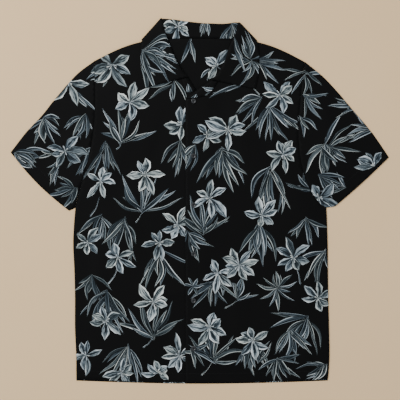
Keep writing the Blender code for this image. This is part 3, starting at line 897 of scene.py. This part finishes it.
MATCHED_SEED = 61
for side, rows, seed, flat, area in (
    ("right", RIGHT_FRONT_PRINT, 21, (0.290, 0.790), 0.198),
    ("left", LEFT_FRONT_PRINT, 22, (0.326, 0.790), 0.214),
):
    petals = drawn_print(rows, seed) + drawn_print(ARMHOLE_PRINT[side], MATCHED_SEED)
    height = laid_at(FRONT_HEIGHT[side])
    front = cut_and_print(side + "_front_cloth", front_outline(side), height, petals)
    sew_on(front, side + "_front")

# --------------------------------------------------------------- the sleeves
# Each sleeve is one cut folded along the top and seamed under the arm, so it
# lies as two layers.  The cuff is turned up and stitched, and its end is open.

FOLD = LAYER / 2
FOLD_FADE = 170.0
UPPER_EASE = 6.0  # the upper side rises to its full height this far from the fold
CUFF_BOW = {"right": 7.0, "left": 2.0}
CUFF_ROW = 25.0  # from the cuff's edge up to its row of stitches
CUFF_POINTS = 34
FOLD_POINTS = 110
UNDER_STEP = 4.0
SLEEVE_PRINT = {
    "right": (
        ("bloom", -301, 110, 20, 42, 6, 360, 0, 0.72),
        ("spray", -310, 96, 240, 64, 4, 60, 8, 0.5),
        ("spray", -322, 104, 178, 46, 2, 16, 4, 0.5),
        ("spray", -350, 186, 288, 60, 8, 150, 26, 0.5),
        ("bloom", -288, 261, 330, 42, 6, 300, 0, 0.82),
        ("spray", -276, 244, 312, 62, 3, 30, 6, 0.55),
        ("spray", -252, 194, 252, 56, 7, 100, 18, 0.5),
        ("spray", -418, 108, 340, 76, 8, 90, -40, 0.48),
        ("spray", -276, 30, 196, 60, 7, 120, 14, 0.4),
        ("spray", -236, 130, 250, 86, 6, 60, 16, 0.42),
        ("bloom", -345, 300, 200, 38, 6, 360, 0, 0.8),
        ("spray", -420, 240, 120, 70, 8, 150, 14, 0.45),
        ("bloom", -470, 180, 200, 36, 6, 360, 0, 0.85),
        ("spray", -430, 330, 60, 80, 8, 120, 14, 0.45),
        ("bloom", -520, 260, 20, 38, 6, 360, 0, 0.9),
    ),
    "left": (
        ("spray", 277, 126, 330, 72, 11, 230, 12, 0.52),
        ("spray", 270, 120, 290, 84, 4, 40, 14, 0.5),
        ("spray", 392, 156, 174, 64, 7, 90, 8, 0.64),
        ("bloom", 392, 78, 140, 36, 5, 130, 0, 0.8),
        ("spray", 356, 204, 172, 62, 6, 90, 6, 0.62),
        ("bloom", 268, 8, 110, 44, 7, 330, 0, 0.66),
        ("spray", 330, 30, 170, 56, 5, 70, 10, 0.5),
        ("spray", 262, 60, 330, 60, 4, 50, 8, 0.45),
        ("bloom", 345, 300, 200, 38, 6, 360, 0, 0.8),
        ("spray", 420, 240, 60, 70, 8, 150, 14, 0.45),
        ("bloom", 475, 180, 200, 36, 6, 360, 0, 0.85),
        ("spray", 430, 330, 120, 80, 8, 120, 14, 0.45),
        ("bloom", 520, 260, 20, 38, 6, 360, 0, 0.9),
    ),
}


def sleeve_piece(side):
    """The sleeve's cut is its upper side as it lies, and its under side turned out
    across the fold along the top."""
    hole = armhole_line(side, -2.0 * SEAM_GAP)  # just outside the armhole seam
    start = hole[0]
    end = np.array(SLEEVE_TOP[side][-1])
    length = np.hypot(*(end - start))
    along = (end - start) / length
    inward = np.array([along[1], -along[0]]) * -INWARD[side]
    top = curve_through([tuple(start)] + list(SLEEVE_TOP[side]), DRAPE_STEP)
    under = curve_through([tuple(hole[-1])] + list(SLEEVE_UNDER[side]), UNDER_STEP)
    cuff_t = np.linspace(0.0, 1.0, CUFF_POINTS)[:, None]
    cuff = top[-1] + (under[-1] - top[-1]) * cuff_t
    run = (under[-1] - top[-1]) / np.hypot(*(under[-1] - top[-1]))
    out = np.array([run[1], -run[0]])
    cuff = cuff + out * CUFF_BOW[side] * INWARD[side] * np.sin(np.pi * cuff_t)
    top_along = (top - start) @ along
    top_in = (top - start) @ inward

    def fold_in(points):
        """How far inside the straight fold line the true fold lies, beside each point;
        the shift fades out across the sleeve."""
        true_fold = np.interp((points - start) @ along, top_along, top_in)
        fade = np.clip(1.0 - ((points - start) @ inward) / FOLD_FADE, 0.0, 1.0)
        return inward * (true_fold * fade)[:, None]

    def turned_out(points):
        """The points on the other side of the straight fold line."""
        return points - 2.0 * inward * ((points - start) @ inward)[:, None]

    hole_path, under_path, cuff_path = (
        line - fold_in(line) for line in (hole[1:], under[1:], cuff[::-1][1:-1])
    )
    upper_path = np.vstack([hole_path, under_path, cuff_path])
    fold_start = start[None, :]
    fold_end = (start + along * top_along[-1])[None, :]
    outline = np.vstack([fold_start, upper_path, fold_end, turned_out(upper_path)[::-1]])

    def place(xy):
        """Folds the cut along the top, with the upper side's drape over the under side."""
        q = (xy - start) @ inward
        is_upper = q >= -1e-6
        flat = np.where(is_upper[:, None], xy, turned_out(xy))
        plan = flat + fold_in(flat)
        to_fold = np.abs(q)
        to_under = reach_to(plan[:, 0], plan[:, 1], under)
        from_edge = np.clip(np.minimum(to_fold, to_under) / FOLD, 0.0, 1.0)
        rise = FOLD * np.sqrt(1.0 - (1.0 - from_edge) ** 2)
        over = front_height(plan[:, 0], plan[:, 1]) - FRONT_MID
        middle = BACK_MID + FOLD
        upper_z = middle + rise + (FRONT_MID - BACK_MID - LAYER) * from_edge
        upper_z += over * smooth(to_fold / UPPER_EASE)
        return np.column_stack([plan, np.where(is_upper, upper_z, middle - rise)])

    # Close rows of points along the fold, where the cloth turns.
    steps = np.linspace(0.01, 0.995, FOLD_POINTS)[:, None]
    fold_line = fold_start + (fold_end - fold_start) * steps
    guides = [fold_line + inward * shift for shift in (0.0, 0.25, 0.65, -0.25, -0.65)]
    toward = (top[0] + under[0] - top[-1] - under[-1]) / 2
    cuff_row = cuff[2:-2] + toward / np.hypot(*toward) * CUFF_ROW
    return anticlockwise(outline), place, guides, cuff_row


CUFF_ROWS = {}
for side, seed, flat, area in (
    ("right", 31, (0.40, 0.43), 0.072),
    ("left", 32, (0.42, 0.43), 0.080),
):
    outline, place, guides, CUFF_ROWS[side] = sleeve_piece(side)
    petals = drawn_print(SLEEVE_PRINT[side], seed)
    petals += drawn_print(ARMHOLE_PRINT[side], MATCHED_SEED)
    sleeve = cut_and_print(side + "_sleeve_cloth", outline, place, petals, guides)
    sew_on(sleeve, side + "_sleeve")

# ---------------------------------------------------------------- the revers
# Each front's own cloth, turned back at the neck below the collar.  It is faced
# with the same rayon, pressed along its roll and held by the collar seam.

Section = namedtuple("Section", "roll_x roll_y edge_x edge_y")
REVERS = {
    "right": (
        (-10.5, 250, -13, 247.5),
        (-12.5, 254, -23, 244),
        (-16.5, 260, -34.5, 248.5),
        (-22.5, 269.5, -38, 261),
        (-27.5, 277.6, -41, 274),
    ),
    "left": (
        (-31, 231.5, -29.5, 230),
        (-16.5, 241.5, -6, 232.5),
        (-1, 253, 17, 238),
        (13.5, 263, 30.5, 252.5),
        (26.5, 271.2, 40.5, 268.2),
    ),
}
REVERS_PRINT = (
    ("spray", -8, 14, 10, 34, 3, 50, 8, 0.55),
    ("spray", 66, 28, 220, 34, 3, 60, 8, 0.5),
)


SECTION_SAMPLES = 160
END_POINTS = 21
LOFT_STEP = 4.0


def lofted(sections):
    """A cloth surface through lines of points.  Returns its flat outline and the
    function that puts flat points on it: x runs along the piece, and y is the
    distance along each section from its first point."""
    lines = []
    spans = []
    for section in sections:
        line = curve_through(section, 1.0)
        steps = np.linalg.norm(np.diff(line, axis=0), axis=1)
        spans.append(np.insert(np.cumsum(steps), 0, 0.0))
        lines.append(line)
    widths = np.array([span[-1] for span in spans])
    table = []
    for line, span in zip(lines, spans):
        even = np.linspace(0, span[-1], SECTION_SAMPLES)
        table.append(np.column_stack([np.interp(even, span, line[:, axis]) for axis in range(3)]))
    table = np.array(table)
    inner = np.linalg.norm(np.diff(table[:, SECTION_SAMPLES // 3], axis=0), axis=1)
    outer = np.linalg.norm(np.diff(table[:, -1], axis=0), axis=1)
    stations = np.insert(np.cumsum((inner + outer) / 2), 0, 0.0)
    last = len(lines) - 1

    def place(xy):
        row = np.clip(np.interp(xy[:, 0], stations, np.arange(last + 1)), 0, last - 1e-6)
        low = row.astype(int)
        t = (row - low)[:, None]
        width = np.interp(xy[:, 0], stations, widths)
        column = np.clip(xy[:, 1] / width, 0.0, 1.0) * (SECTION_SAMPLES - 1)
        left = np.minimum(column.astype(int), SECTION_SAMPLES - 2)
        s = (column - left)[:, None]

        def at(index):
            lines_here = table[np.clip(index, 0, last)]
            rows = np.arange(len(index))
            return lines_here[rows, left] * (1 - s) + lines_here[rows, left + 1] * s

        a, b, c, d = (at(low + shift) for shift in (-1, 0, 1, 2))
        return 0.5 * (2 * b + (c - a) * t + (2 * a - 5 * b + 4 * c - d) * t**2
                      + (3 * b - a - 3 * c + d) * t**3)

    across = np.linspace(stations[0], stations[-1], round(stations[-1] / LOFT_STEP) + 1)
    across = np.unique(np.concatenate([across, stations]))
    widths_there = np.interp(across, stations, widths)
    start_edge = np.column_stack([np.zeros(END_POINTS), np.linspace(widths[0], 0.0, END_POINTS)])
    end_x = np.full(END_POINTS, stations[-1])
    end_edge = np.column_stack([end_x, np.linspace(0.0, widths[-1], END_POINTS)])
    near = np.column_stack([across, np.zeros(len(across))])
    far = np.column_stack([across, widths_there])[::-1]
    return joined(start_edge, near, end_edge, far), place, stations


ON_FRONT = LAYER + 0.3  # a turned-back layer's middle above the front's
ROLL_SHARE = 0.75  # how much of that height it has at its roll
for side, flat, area in (
    ("right", (0.0345, 0.0185), 0.00061),
    ("left", (0.078, 0.0235), 0.00115),
):
    sections = []
    for row in (Section(*values) for values in REVERS[side]):
        section = []
        for t in (0.0, 0.06, 0.15, 0.35, 0.7, 1.0):
            x = row.roll_x + (row.edge_x - row.roll_x) * t
            y = row.roll_y + (row.edge_y - row.roll_y) * t
            share = ROLL_SHARE + (1.0 - ROLL_SHARE) * float(smooth(t / 0.15))
            section.append((x, y, height_at(side, x, y) + ON_FRONT * share))
        sections.append(section)
    outline, place, stations = lofted(sections)
    revers = cut_and_print(side + "_revers_cloth", outline, place, drawn_print(REVERS_PRINT, 41))
    sew_on(revers, side + "_revers")

# ---------------------------------------------------------------- the collar
# A one-piece open collar: its stand goes up from the neck seam and its fall
# turns over, on the fronts at the front and under the back behind the neck.

CollarLine = namedtuple("CollarLine", "neck_x neck_y roll_x roll_y edge_x edge_y roll_height")
COLLAR_FRONT = {
    "right": (
        CollarLine(-31, 280.5, -26.5, 279, -121.5, 254, 3.2),
        CollarLine(-50, 294, -41.5, 296, -127, 270, 4.6),
        CollarLine(-66, 315, -55.5, 320, -131.5, 294, 5.2),
        CollarLine(-76, 337, -65.5, 347, -133.5, 320, 4.8),
        CollarLine(-81.5, 352, -75.5, 374, -133.5, 342, 3.8),
        CollarLine(-84, 361, -82, 396, -132.5, 355, 2.4),
    ),
    "left": (
        CollarLine(31, 274, 26.5, 272.5, 124.5, 251, 3.2),
        CollarLine(52, 291, 44, 292, 129, 268, 4.6),
        CollarLine(67, 314, 57, 317, 132.5, 292, 5.2),
        CollarLine(76, 336, 66, 346, 133.5, 318, 4.8),
        CollarLine(81.5, 351, 77, 370, 133, 339, 3.8),
        CollarLine(84, 360, 84, 388, 131, 351, 2.4),
    ),
}
COLLAR_FOLD = {
    "right": CollarLine(-85, 365, -86, 410.4, -131, 362, 0),
    "left": CollarLine(85, 365, 88, 401, 129, 360, 0),
}
COLLAR_BACK = (
    CollarLine(-79, 365, -78, 409.4, -116, 354, 2.2),
    CollarLine(-55, 365, -55, 407, -72, 348, 2.8),
    CollarLine(-28, 365, -28, 403, -36, 346, 3),
    CollarLine(0, 365, 0, 400, 0, 345.5, 3),
    CollarLine(28, 365, 28, 398.5, 36, 346, 3),
    CollarLine(55, 365, 55, 398, 72, 348, 2.8),
    CollarLine(79, 365, 80, 401, 114, 353, 2.2),
)
FOLD_ANGLES = (90.0, 45.0, 0.0, -45.0, -90.0)
CORNER_REACH = 7.0
ROLL_PULL = 0.25  # keeps the middle of the rounded roll on the roll line
UNDER_BACK = 0.5  # middle of the collar's fall where it lies under the back
BACK_NECK_Z = 1.8


def unit(x, y):
    """A direction one long."""
    length = math.hypot(x, y)
    return x / length, y / length


def collar_section(row, reach, neck_z, stand_z, fall_z, edge_z):
    """One line of the collar: up the stand, round the roll, out along the fall."""
    to_neck = unit(row.neck_x - row.roll_x, row.neck_y - row.roll_y)
    to_edge = unit(row.edge_x - row.roll_x, row.edge_y - row.roll_y)
    line = []

    def on_roll(t):
        stand = reach * ((1.0 - t) ** 2 - ROLL_PULL)
        fall = reach * (t**2 - ROLL_PULL)
        return (
            row.roll_x + to_neck[0] * stand + to_edge[0] * fall,
            row.roll_y + to_neck[1] * stand + to_edge[1] * fall,
        )

    top = on_roll(0.0)
    for t in (0.0, 0.5):
        x = row.neck_x + (top[0] - row.neck_x) * t
        y = row.neck_y + (top[1] - row.neck_y) * t
        line.append((x, y, neck_z(x, y) + (stand_z(x, y) - neck_z(x, y)) * float(smooth(t))))
    for t in (0.0, 0.25, 0.5, 0.75, 1.0):
        x, y = on_roll(t)
        turn = (1.0 - math.cos(math.pi * t)) / 2
        line.append((x, y, stand_z(x, y) + (fall_z(x, y) - stand_z(x, y)) * turn))
    top = on_roll(1.0)
    for t in (0.2, 0.45, 0.72, 1.0):
        x = top[0] + (row.edge_x - top[0]) * t
        y = top[1] + (row.edge_y - top[1]) * t
        line.append((x, y, edge_z(x, y) + (fall_z(x, y) - edge_z(x, y)) * (1.0 - t) ** 2))
    return line


def level(z):
    """The same height everywhere."""
    return lambda x, y: z


def above_front(side, extra):
    """A height that follows a front."""
    return lambda x, y: height_at(side, x, y) + extra


def leaf_sections(side):
    """The collar's leaf, which lies on one front."""
    stand = above_front(side, 0.0)
    leaf = above_front(side, ON_FRONT)
    sections = []
    for row in COLLAR_FRONT[side]:
        roll = above_front(side, row.roll_height)
        sections.append(collar_section(row, row.roll_height, stand, stand, roll, leaf))
    return sections


def fold_sections(side):
    """Where the collar turns from the front of the neck to the back."""
    row = COLLAR_FOLD[side]
    stand_radius = LAYER / 2
    fall_radius = LAYER * 1.5
    along = unit(row.edge_x - row.roll_x, row.edge_y - row.roll_y)
    in_x, in_y = INWARD[side] * abs(along[1]), -abs(along[0])
    sections = []
    for degrees in FOLD_ANGLES:
        rise = math.sin(math.radians(degrees))
        inset = fall_radius * (1.0 - math.cos(math.radians(degrees)))
        moved = row._replace(
            neck_x=row.neck_x + INWARD[side] * stand_radius * inset / fall_radius,
            roll_x=row.roll_x + in_x * inset,
            roll_y=row.roll_y + in_y * inset,
            edge_x=row.edge_x + in_x * inset,
            edge_y=row.edge_y + in_y * inset,
        )
        middle = UNDER_BACK + fall_radius
        stand = level(middle + stand_radius * rise)
        fall = level(middle + fall_radius * rise)
        sections.append(collar_section(moved, CORNER_REACH, stand, stand, fall, fall))
    return sections


def back_sections():
    """The band behind the neck, which turns down under the back."""
    neck = level(BACK_NECK_Z)
    under = level(UNDER_BACK)
    sections = []
    for row in COLLAR_BACK:
        roll = level(UNDER_BACK + row.roll_height)
        sections.append(collar_section(row, row.roll_height, neck, roll, under, under))
    return sections


COLLAR_PRINT = (
    ("spray", 92, 88, 218, 104, 13, 125, 20, 0.5),
    ("stem", 92, 88, 250, 40, 1, 0, 6, 0.45),
    ("bloom", 178, 26, 262, 38, 7, 360, 0, 0.85),
    ("spray", 250, 44, 264, 40, 4, 60, 6, 0.55),
    ("spray", 318, 36, 282, 66, 7, 130, 12, 0.5),
    ("spray", 402, 74, 345, 58, 10, 250, 8, 0.62),
    ("spray", 402, 70, 200, 54, 3, 40, 8, 0.5),
    ("spray", 374, 22, 44, 70, 2, 22, 8, 0.45),
)
collar_lines = (
    leaf_sections("right") + fold_sections("right") + back_sections()
    + fold_sections("left")[::-1] + leaf_sections("left")[::-1]
)
outline, on_collar, collar_stations = lofted(collar_lines)
# Closer points where the cloth turns: along the roll, and across the two corners.
steps = [np.linalg.norm(np.diff(np.array(line), axis=0), axis=1) for line in collar_lines]
to_point = np.array([np.insert(np.cumsum(step), 0, 0.0) for step in steps])
FINE = 2.5
ROLL_POINTS = range(2, 7)
ROWS_ACROSS_CORNER = 9
along = np.arange(2.0, collar_stations[-1] - 2.0, FINE)
guides = [
    np.column_stack([along, np.interp(along, collar_stations, to_point[:, index])])
    for index in ROLL_POINTS
]
turns = len(FOLD_ANGLES)
corner_starts = (len(COLLAR_FRONT["right"]), -len(COLLAR_FRONT["left"]) - turns)
corners = [collar_stations[i : i + turns] for i in corner_starts]
corners = [np.linspace(lines[0], lines[-1], ROWS_ACROSS_CORNER) for lines in corners]
for s in np.concatenate(corners):
    t = np.arange(1.0, np.interp(s, collar_stations, to_point[:, -1]) - 1.0, FINE)
    guides.append(np.column_stack([np.full(len(t), s), t]))
petals = drawn_print(COLLAR_PRINT, 51)
collar = cut_and_print("collar_cloth", outline, on_collar, petals, guides)
sew_on(collar, "collar")

# ------------------------------------------------------------- the stitching
# Lockstitch in black spun polyester thread: a row above each front's hem and each cuff, and a
# row inside the edges of the button front and of the collar's two leaves.


def mottled(name, constants, noise, dark, light):
    """A material whose colour wanders between two, over a noise of the given scale."""
    material, tree, shader = new_material(name, constants)
    coords = add(tree, "ShaderNodeTexCoord").outputs["Object"]
    noise = add(tree, "ShaderNodeTexNoise", {"Vector": coords, **noise})
    shade = {0: noise, 6: colour(dark), 7: colour(light)}
    shade = add(tree, "ShaderNodeMix", shade, data_type="RGBA")
    tree.links.new(shade.outputs[2], shader.inputs["Base Color"])
    return material


# Spun polyester thread: dull and slightly hairy, so it catches little light, and its
# plies show as a fine change of shade.
THREAD = mottled(
    "polyester_thread_spun",
    {"Roughness": 0.75, "Specular IOR Level": 0.2},
    {"Scale": 2500.0},
    "#0c0c0d",
    "#2a2b2d",
)


def stitch_tree():
    """Stitches laid along a curve, turned by an angle from its direction."""
    tree = bpy.data.node_groups.new("row of stitches", "GeometryNodeTree")
    sockets = {}
    for label, kind, value in (
        ("Seam", "NodeSocketGeometry", None),
        ("Pitch", "NodeSocketFloat", 0.003),
        ("Stitch Length", "NodeSocketFloat", 0.0024),
        ("Thread", "NodeSocketFloat", 0.0004),
        ("Turn", "NodeSocketFloat", 0.0),
        ("Material", "NodeSocketMaterial", None),
    ):
        socket = tree.interface.new_socket(label, in_out="INPUT", socket_type=kind)
        if value is not None:
            socket.default_value = value
        sockets[label] = socket.identifier
    tree.interface.new_socket("Stitches", in_out="OUTPUT", socket_type="NodeSocketGeometry")
    given = add(tree, "NodeGroupInput").outputs
    spaced = {"Curve": given["Seam"], "Length": given["Pitch"]}
    spaced = add(tree, "GeometryNodeResampleCurve", spaced, mode="LENGTH")
    stitch = add(tree, "GeometryNodeMeshUVSphere", {"Segments": 6, "Rings": 4, "Radius": 0.5})
    size = {0: given["Stitch Length"], 1: given["Thread"], 2: given["Thread"]}
    size = add(tree, "ShaderNodeCombineXYZ", size)
    stitch = add(tree, "GeometryNodeTransform", {"Geometry": stitch, "Scale": size})
    facing = add(tree, "GeometryNodeInputTangent")
    facing = add(tree, "FunctionNodeAlignRotationToVector", {"Vector": facing}, axis="X")
    turned = add(tree, "ShaderNodeCombineXYZ", {2: given["Turn"]})
    turned = add(tree, "FunctionNodeRotateRotation", {0: facing, 1: turned}, rotation_space="LOCAL")
    row = {"Points": spaced, "Instance": stitch, "Rotation": turned}
    row = add(tree, "GeometryNodeInstanceOnPoints", row)
    row = add(tree, "GeometryNodeRealizeInstances", {0: row})
    row = add(tree, "GeometryNodeSetMaterial", {"Geometry": row, "Material": given["Material"]})
    add(tree, "NodeGroupOutput", {0: row})
    return tree, sockets


STITCHES, STITCH_SOCKETS = stitch_tree()


def sew_rows(name, rows, pitch=3.0, length=2.4, thread=0.42, turn=0.0):
    """Stitches along lines of points in millimetres, as one mesh."""
    data = bpy.data.curves.new(name, "CURVE")
    data.dimensions = "3D"
    for row in rows:
        spline = data.splines.new("POLY")
        spline.points.add(len(row) - 1)
        points = np.column_stack([np.array(row) * MM, np.ones(len(row))])
        spline.points.foreach_set("co", points.ravel())
    seam = new_object(name + "_line", data)
    maker = seam.modifiers.new("stitches", "NODES")
    maker.node_group = STITCHES
    for label, value in (
        ("Pitch", pitch * MM),
        ("Stitch Length", length * MM),
        ("Thread", thread * MM),
        ("Turn", turn),
        ("Material", THREAD),
    ):
        maker[STITCH_SOCKETS[label]] = value
    bpy.context.view_layer.update()
    evaluated = seam.evaluated_get(bpy.context.evaluated_depsgraph_get())
    mesh = bpy.data.meshes.new_from_object(evaluated)
    mesh.materials.clear()
    mesh.materials.append(THREAD)
    mesh.polygons.foreach_set("material_index", [0] * len(mesh.polygons))
    bpy.data.objects.remove(seam)
    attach(new_object(name, mesh), "root")


ON_CLOTH = CLOTH / 2 + 0.05
HEM_ROW = 20.0
EDGE_ROW = 5.0


def on_front(side, x, y):
    """A line laid on the face of a front."""
    return np.column_stack([x, y, FRONT_HEIGHT[side](x, y) + ON_CLOTH])


rows = []
for side, start in (("right", CLOSURE_X - LAP - 1.0), ("left", CLOSURE_X - LAP)):
    hem = hem_line(start, getattr(SIDE_SEAMS[0], side + "_x"), FRONT_HEM_RISE + HEM_ROW)
    rows.append(on_front(side, hem[:, 0], hem[:, 1]))
sew_rows("hem_stitches", rows)

HEM_FOLD_Y = -408.0
y = np.linspace(ROLL_FOOT_Y - 3.0, HEM_FOLD_Y, 200)
x = np.full(len(y), CLOSURE_X - LAP + EDGE_ROW - 1.0)
sew_rows("button_front_stitches", [on_front("left", x, y)])

rows = []
leaf_ends = (
    (EDGE_ROW, collar_stations[len(COLLAR_FRONT["right"]) - 2]),
    (collar_stations[1 - len(COLLAR_FRONT["left"])], collar_stations[-1] - EDGE_ROW),
)
for low, high in leaf_ends:
    along = np.linspace(low, high, 60)
    out = np.interp(along, collar_stations, to_point[:, -1]) - EDGE_ROW
    rows.append(on_collar(np.column_stack([along, out])) + (0.0, 0.0, ON_CLOTH))
sew_rows("collar_stitches", rows)

rows = []
for line in CUFF_ROWS.values():
    height = front_height(line[:, 0], line[:, 1]) + ON_CLOTH
    rows.append(np.column_stack([line, height]))
sew_rows("cuff_stitches", rows)

# --------------------------------------------------------------- the buttons
# Six four-hole buttons turned from dark polyester resin, sewn on with a cross
# of the same thread, over worked buttonholes in the left front.

BUTTON_RADIUS = 5.6
BUTTON_THICK = 2.4
DISH_Z = 1.75  # the middle of a button's face is sunk to this height
SHANK = 0.35  # slack of the thread under a button
BUTTON_Y = (224.0, 101.0, -9.0, -119.0, -224.0, -331.0)
HOLE_SPREAD = 1.35
HOLE_RADIUS = 0.75

# Polyester resin, turned and polished: near black, smoky in depth, glossy.
RESIN = mottled(
    "polyester_resin_polished",
    {"Roughness": 0.25, "IOR": 1.55},
    {"Scale": 260.0, "Detail": 3.0, "Distortion": 1.5},
    "#0b0c0d",
    "#2c3033",
)


def turned_button():
    """The button's mesh on its own axis: a rounded rim, a dish, and four holes."""
    profile = (
        (0.0, DISH_Z), (2.6, DISH_Z), (3.3, 1.85), (3.75, 2.2), (4.15, 2.38),
        (4.6, BUTTON_THICK), (5.1, 2.3), (5.45, 2.0), (BUTTON_RADIUS, 1.5), (5.5, 0.9),
        (5.1, 0.4), (4.4, 0.08), (3.4, 0.0), (0.0, 0.0),
    )
    points = [(x * MM, 0.0, z * MM) for x, z in profile]
    line = bpy.data.meshes.new("profile")
    line.from_pydata(points, [(i, i + 1) for i in range(len(points) - 1)], [])
    blank = new_object("button_blank", line)
    turn = blank.modifiers.new("turn", "SCREW")
    turn.steps = turn.render_steps = 48
    turn.use_merge_vertices = True
    turn.merge_threshold = 0.00001
    turn.use_normal_calculate = True
    drills = []
    for index in range(4):
        angle = math.pi * (0.25 + index / 2)
        x, y = HOLE_SPREAD * math.cos(angle) * MM, HOLE_SPREAD * math.sin(angle) * MM
        bpy.ops.mesh.primitive_cylinder_add(
            vertices=20, radius=HOLE_RADIUS * MM, depth=8 * BUTTON_THICK * MM, location=(x, y, 0.0)
        )
        drills.append(bpy.context.object)
        blank.modifiers.new("hole", "BOOLEAN").object = drills[-1]
    bpy.context.view_layer.update()
    turned = blank.evaluated_get(bpy.context.evaluated_depsgraph_get())
    mesh = bpy.data.meshes.new_from_object(turned)
    for obj in drills + [blank]:
        bpy.data.objects.remove(obj)
    mesh.materials.clear()
    mesh.materials.append(RESIN)
    mesh.set_sharp_from_angle(angle=math.radians(40.0))
    return mesh


BUTTON_MESH = turned_button()
THREAD_SPREAD = 0.22  # three threads lie side by side in each arm of the cross
THREAD_TOP = 0.34  # a thread's top above the dish, before it dives into a hole
THREAD_DIVE = 0.75
SLOT_HALF = 7.2  # a buttonhole's half length, and its stitches' distance from its slit
SLOT_SIDE = 0.9
SLOT_POINTS = 30
corner = HOLE_SPREAD * math.cos(math.pi / 4)
crosses = []
holes_worked = []
for number, y in enumerate(BUTTON_Y, start=1):
    base = height_at("left", CLOSURE_X, y) + CLOTH / 2 + SHANK
    mesh = BUTTON_MESH.copy()
    mesh.transform(Matrix.Translation((CLOSURE_X * MM, y * MM, base * MM)))
    button = new_object(f"button_{number}_turned", mesh)
    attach(button, "root")
    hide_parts(f"button_{number}")
    top = base + DISH_Z + THREAD_TOP
    for way in (1.0, -1.0):
        for shift in (-THREAD_SPREAD, 0.0, THREAD_SPREAD):
            t = np.linspace(-1.05, 1.05, 9)  # a hole's middle is at -1 and at 1
            arm_x = CLOSURE_X + t * corner + shift
            arm_y = y + way * (t * corner - shift)
            crosses.append(np.column_stack([arm_x, arm_y, top - THREAD_DIVE * t**4]))
    slot = np.linspace(y - SLOT_HALF, y + SLOT_HALF, SLOT_POINTS)
    for shift in (-SLOT_SIDE, SLOT_SIDE):
        holes_worked.append(on_front("left", np.full(SLOT_POINTS, CLOSURE_X + shift), slot))
sew_rows("button_threads", crosses, pitch=0.25, length=0.5, thread=0.3)
overcast = {"pitch": 0.45, "length": 1.5, "thread": 0.34, "turn": math.pi / 2}
sew_rows("buttonhole_stitches", holes_worked, **overcast)

# ------------------------------------------------------------------ the room
# A plain pale floor, a large soft light from the upper left and a pale sky.

bpy.ops.mesh.primitive_plane_add(size=8.0)
floor = bpy.context.object
floor.name = "floor"
# Matt emulsion paint, rolled on: even, and a little cloudy.
paint = mottled(
    "matt_paint_rolled",
    {"Roughness": 0.8},
    {"Scale": 3.0, "Detail": 4.0},
    "#f7d09b",
    "#fad8a6",
)
floor.data.materials.append(paint)

lamp = bpy.data.lights.new("softbox", "AREA")
lamp.energy = 60.0
lamp.size = 1.6
softbox = new_object("softbox", lamp)
softbox.location = (-1.6, 1.3, 2.2)
softbox.rotation_euler = softbox.location.to_track_quat("Z", "Y").to_euler()

world = bpy.data.worlds.new("sky")
world.use_nodes = True
sky = world.node_tree.nodes["Background"]
sky.inputs["Color"].default_value = colour("#f4f6fb")
sky.inputs["Strength"].default_value = 0.75
bpy.context.scene.world = world

lens = bpy.data.cameras.new("camera")
lens.lens = 104.0
lens.sensor_width = 36.0
camera = new_object("camera", lens)
camera.location = (0.0005, 0.002, 2.6)
bpy.context.scene.camera = camera
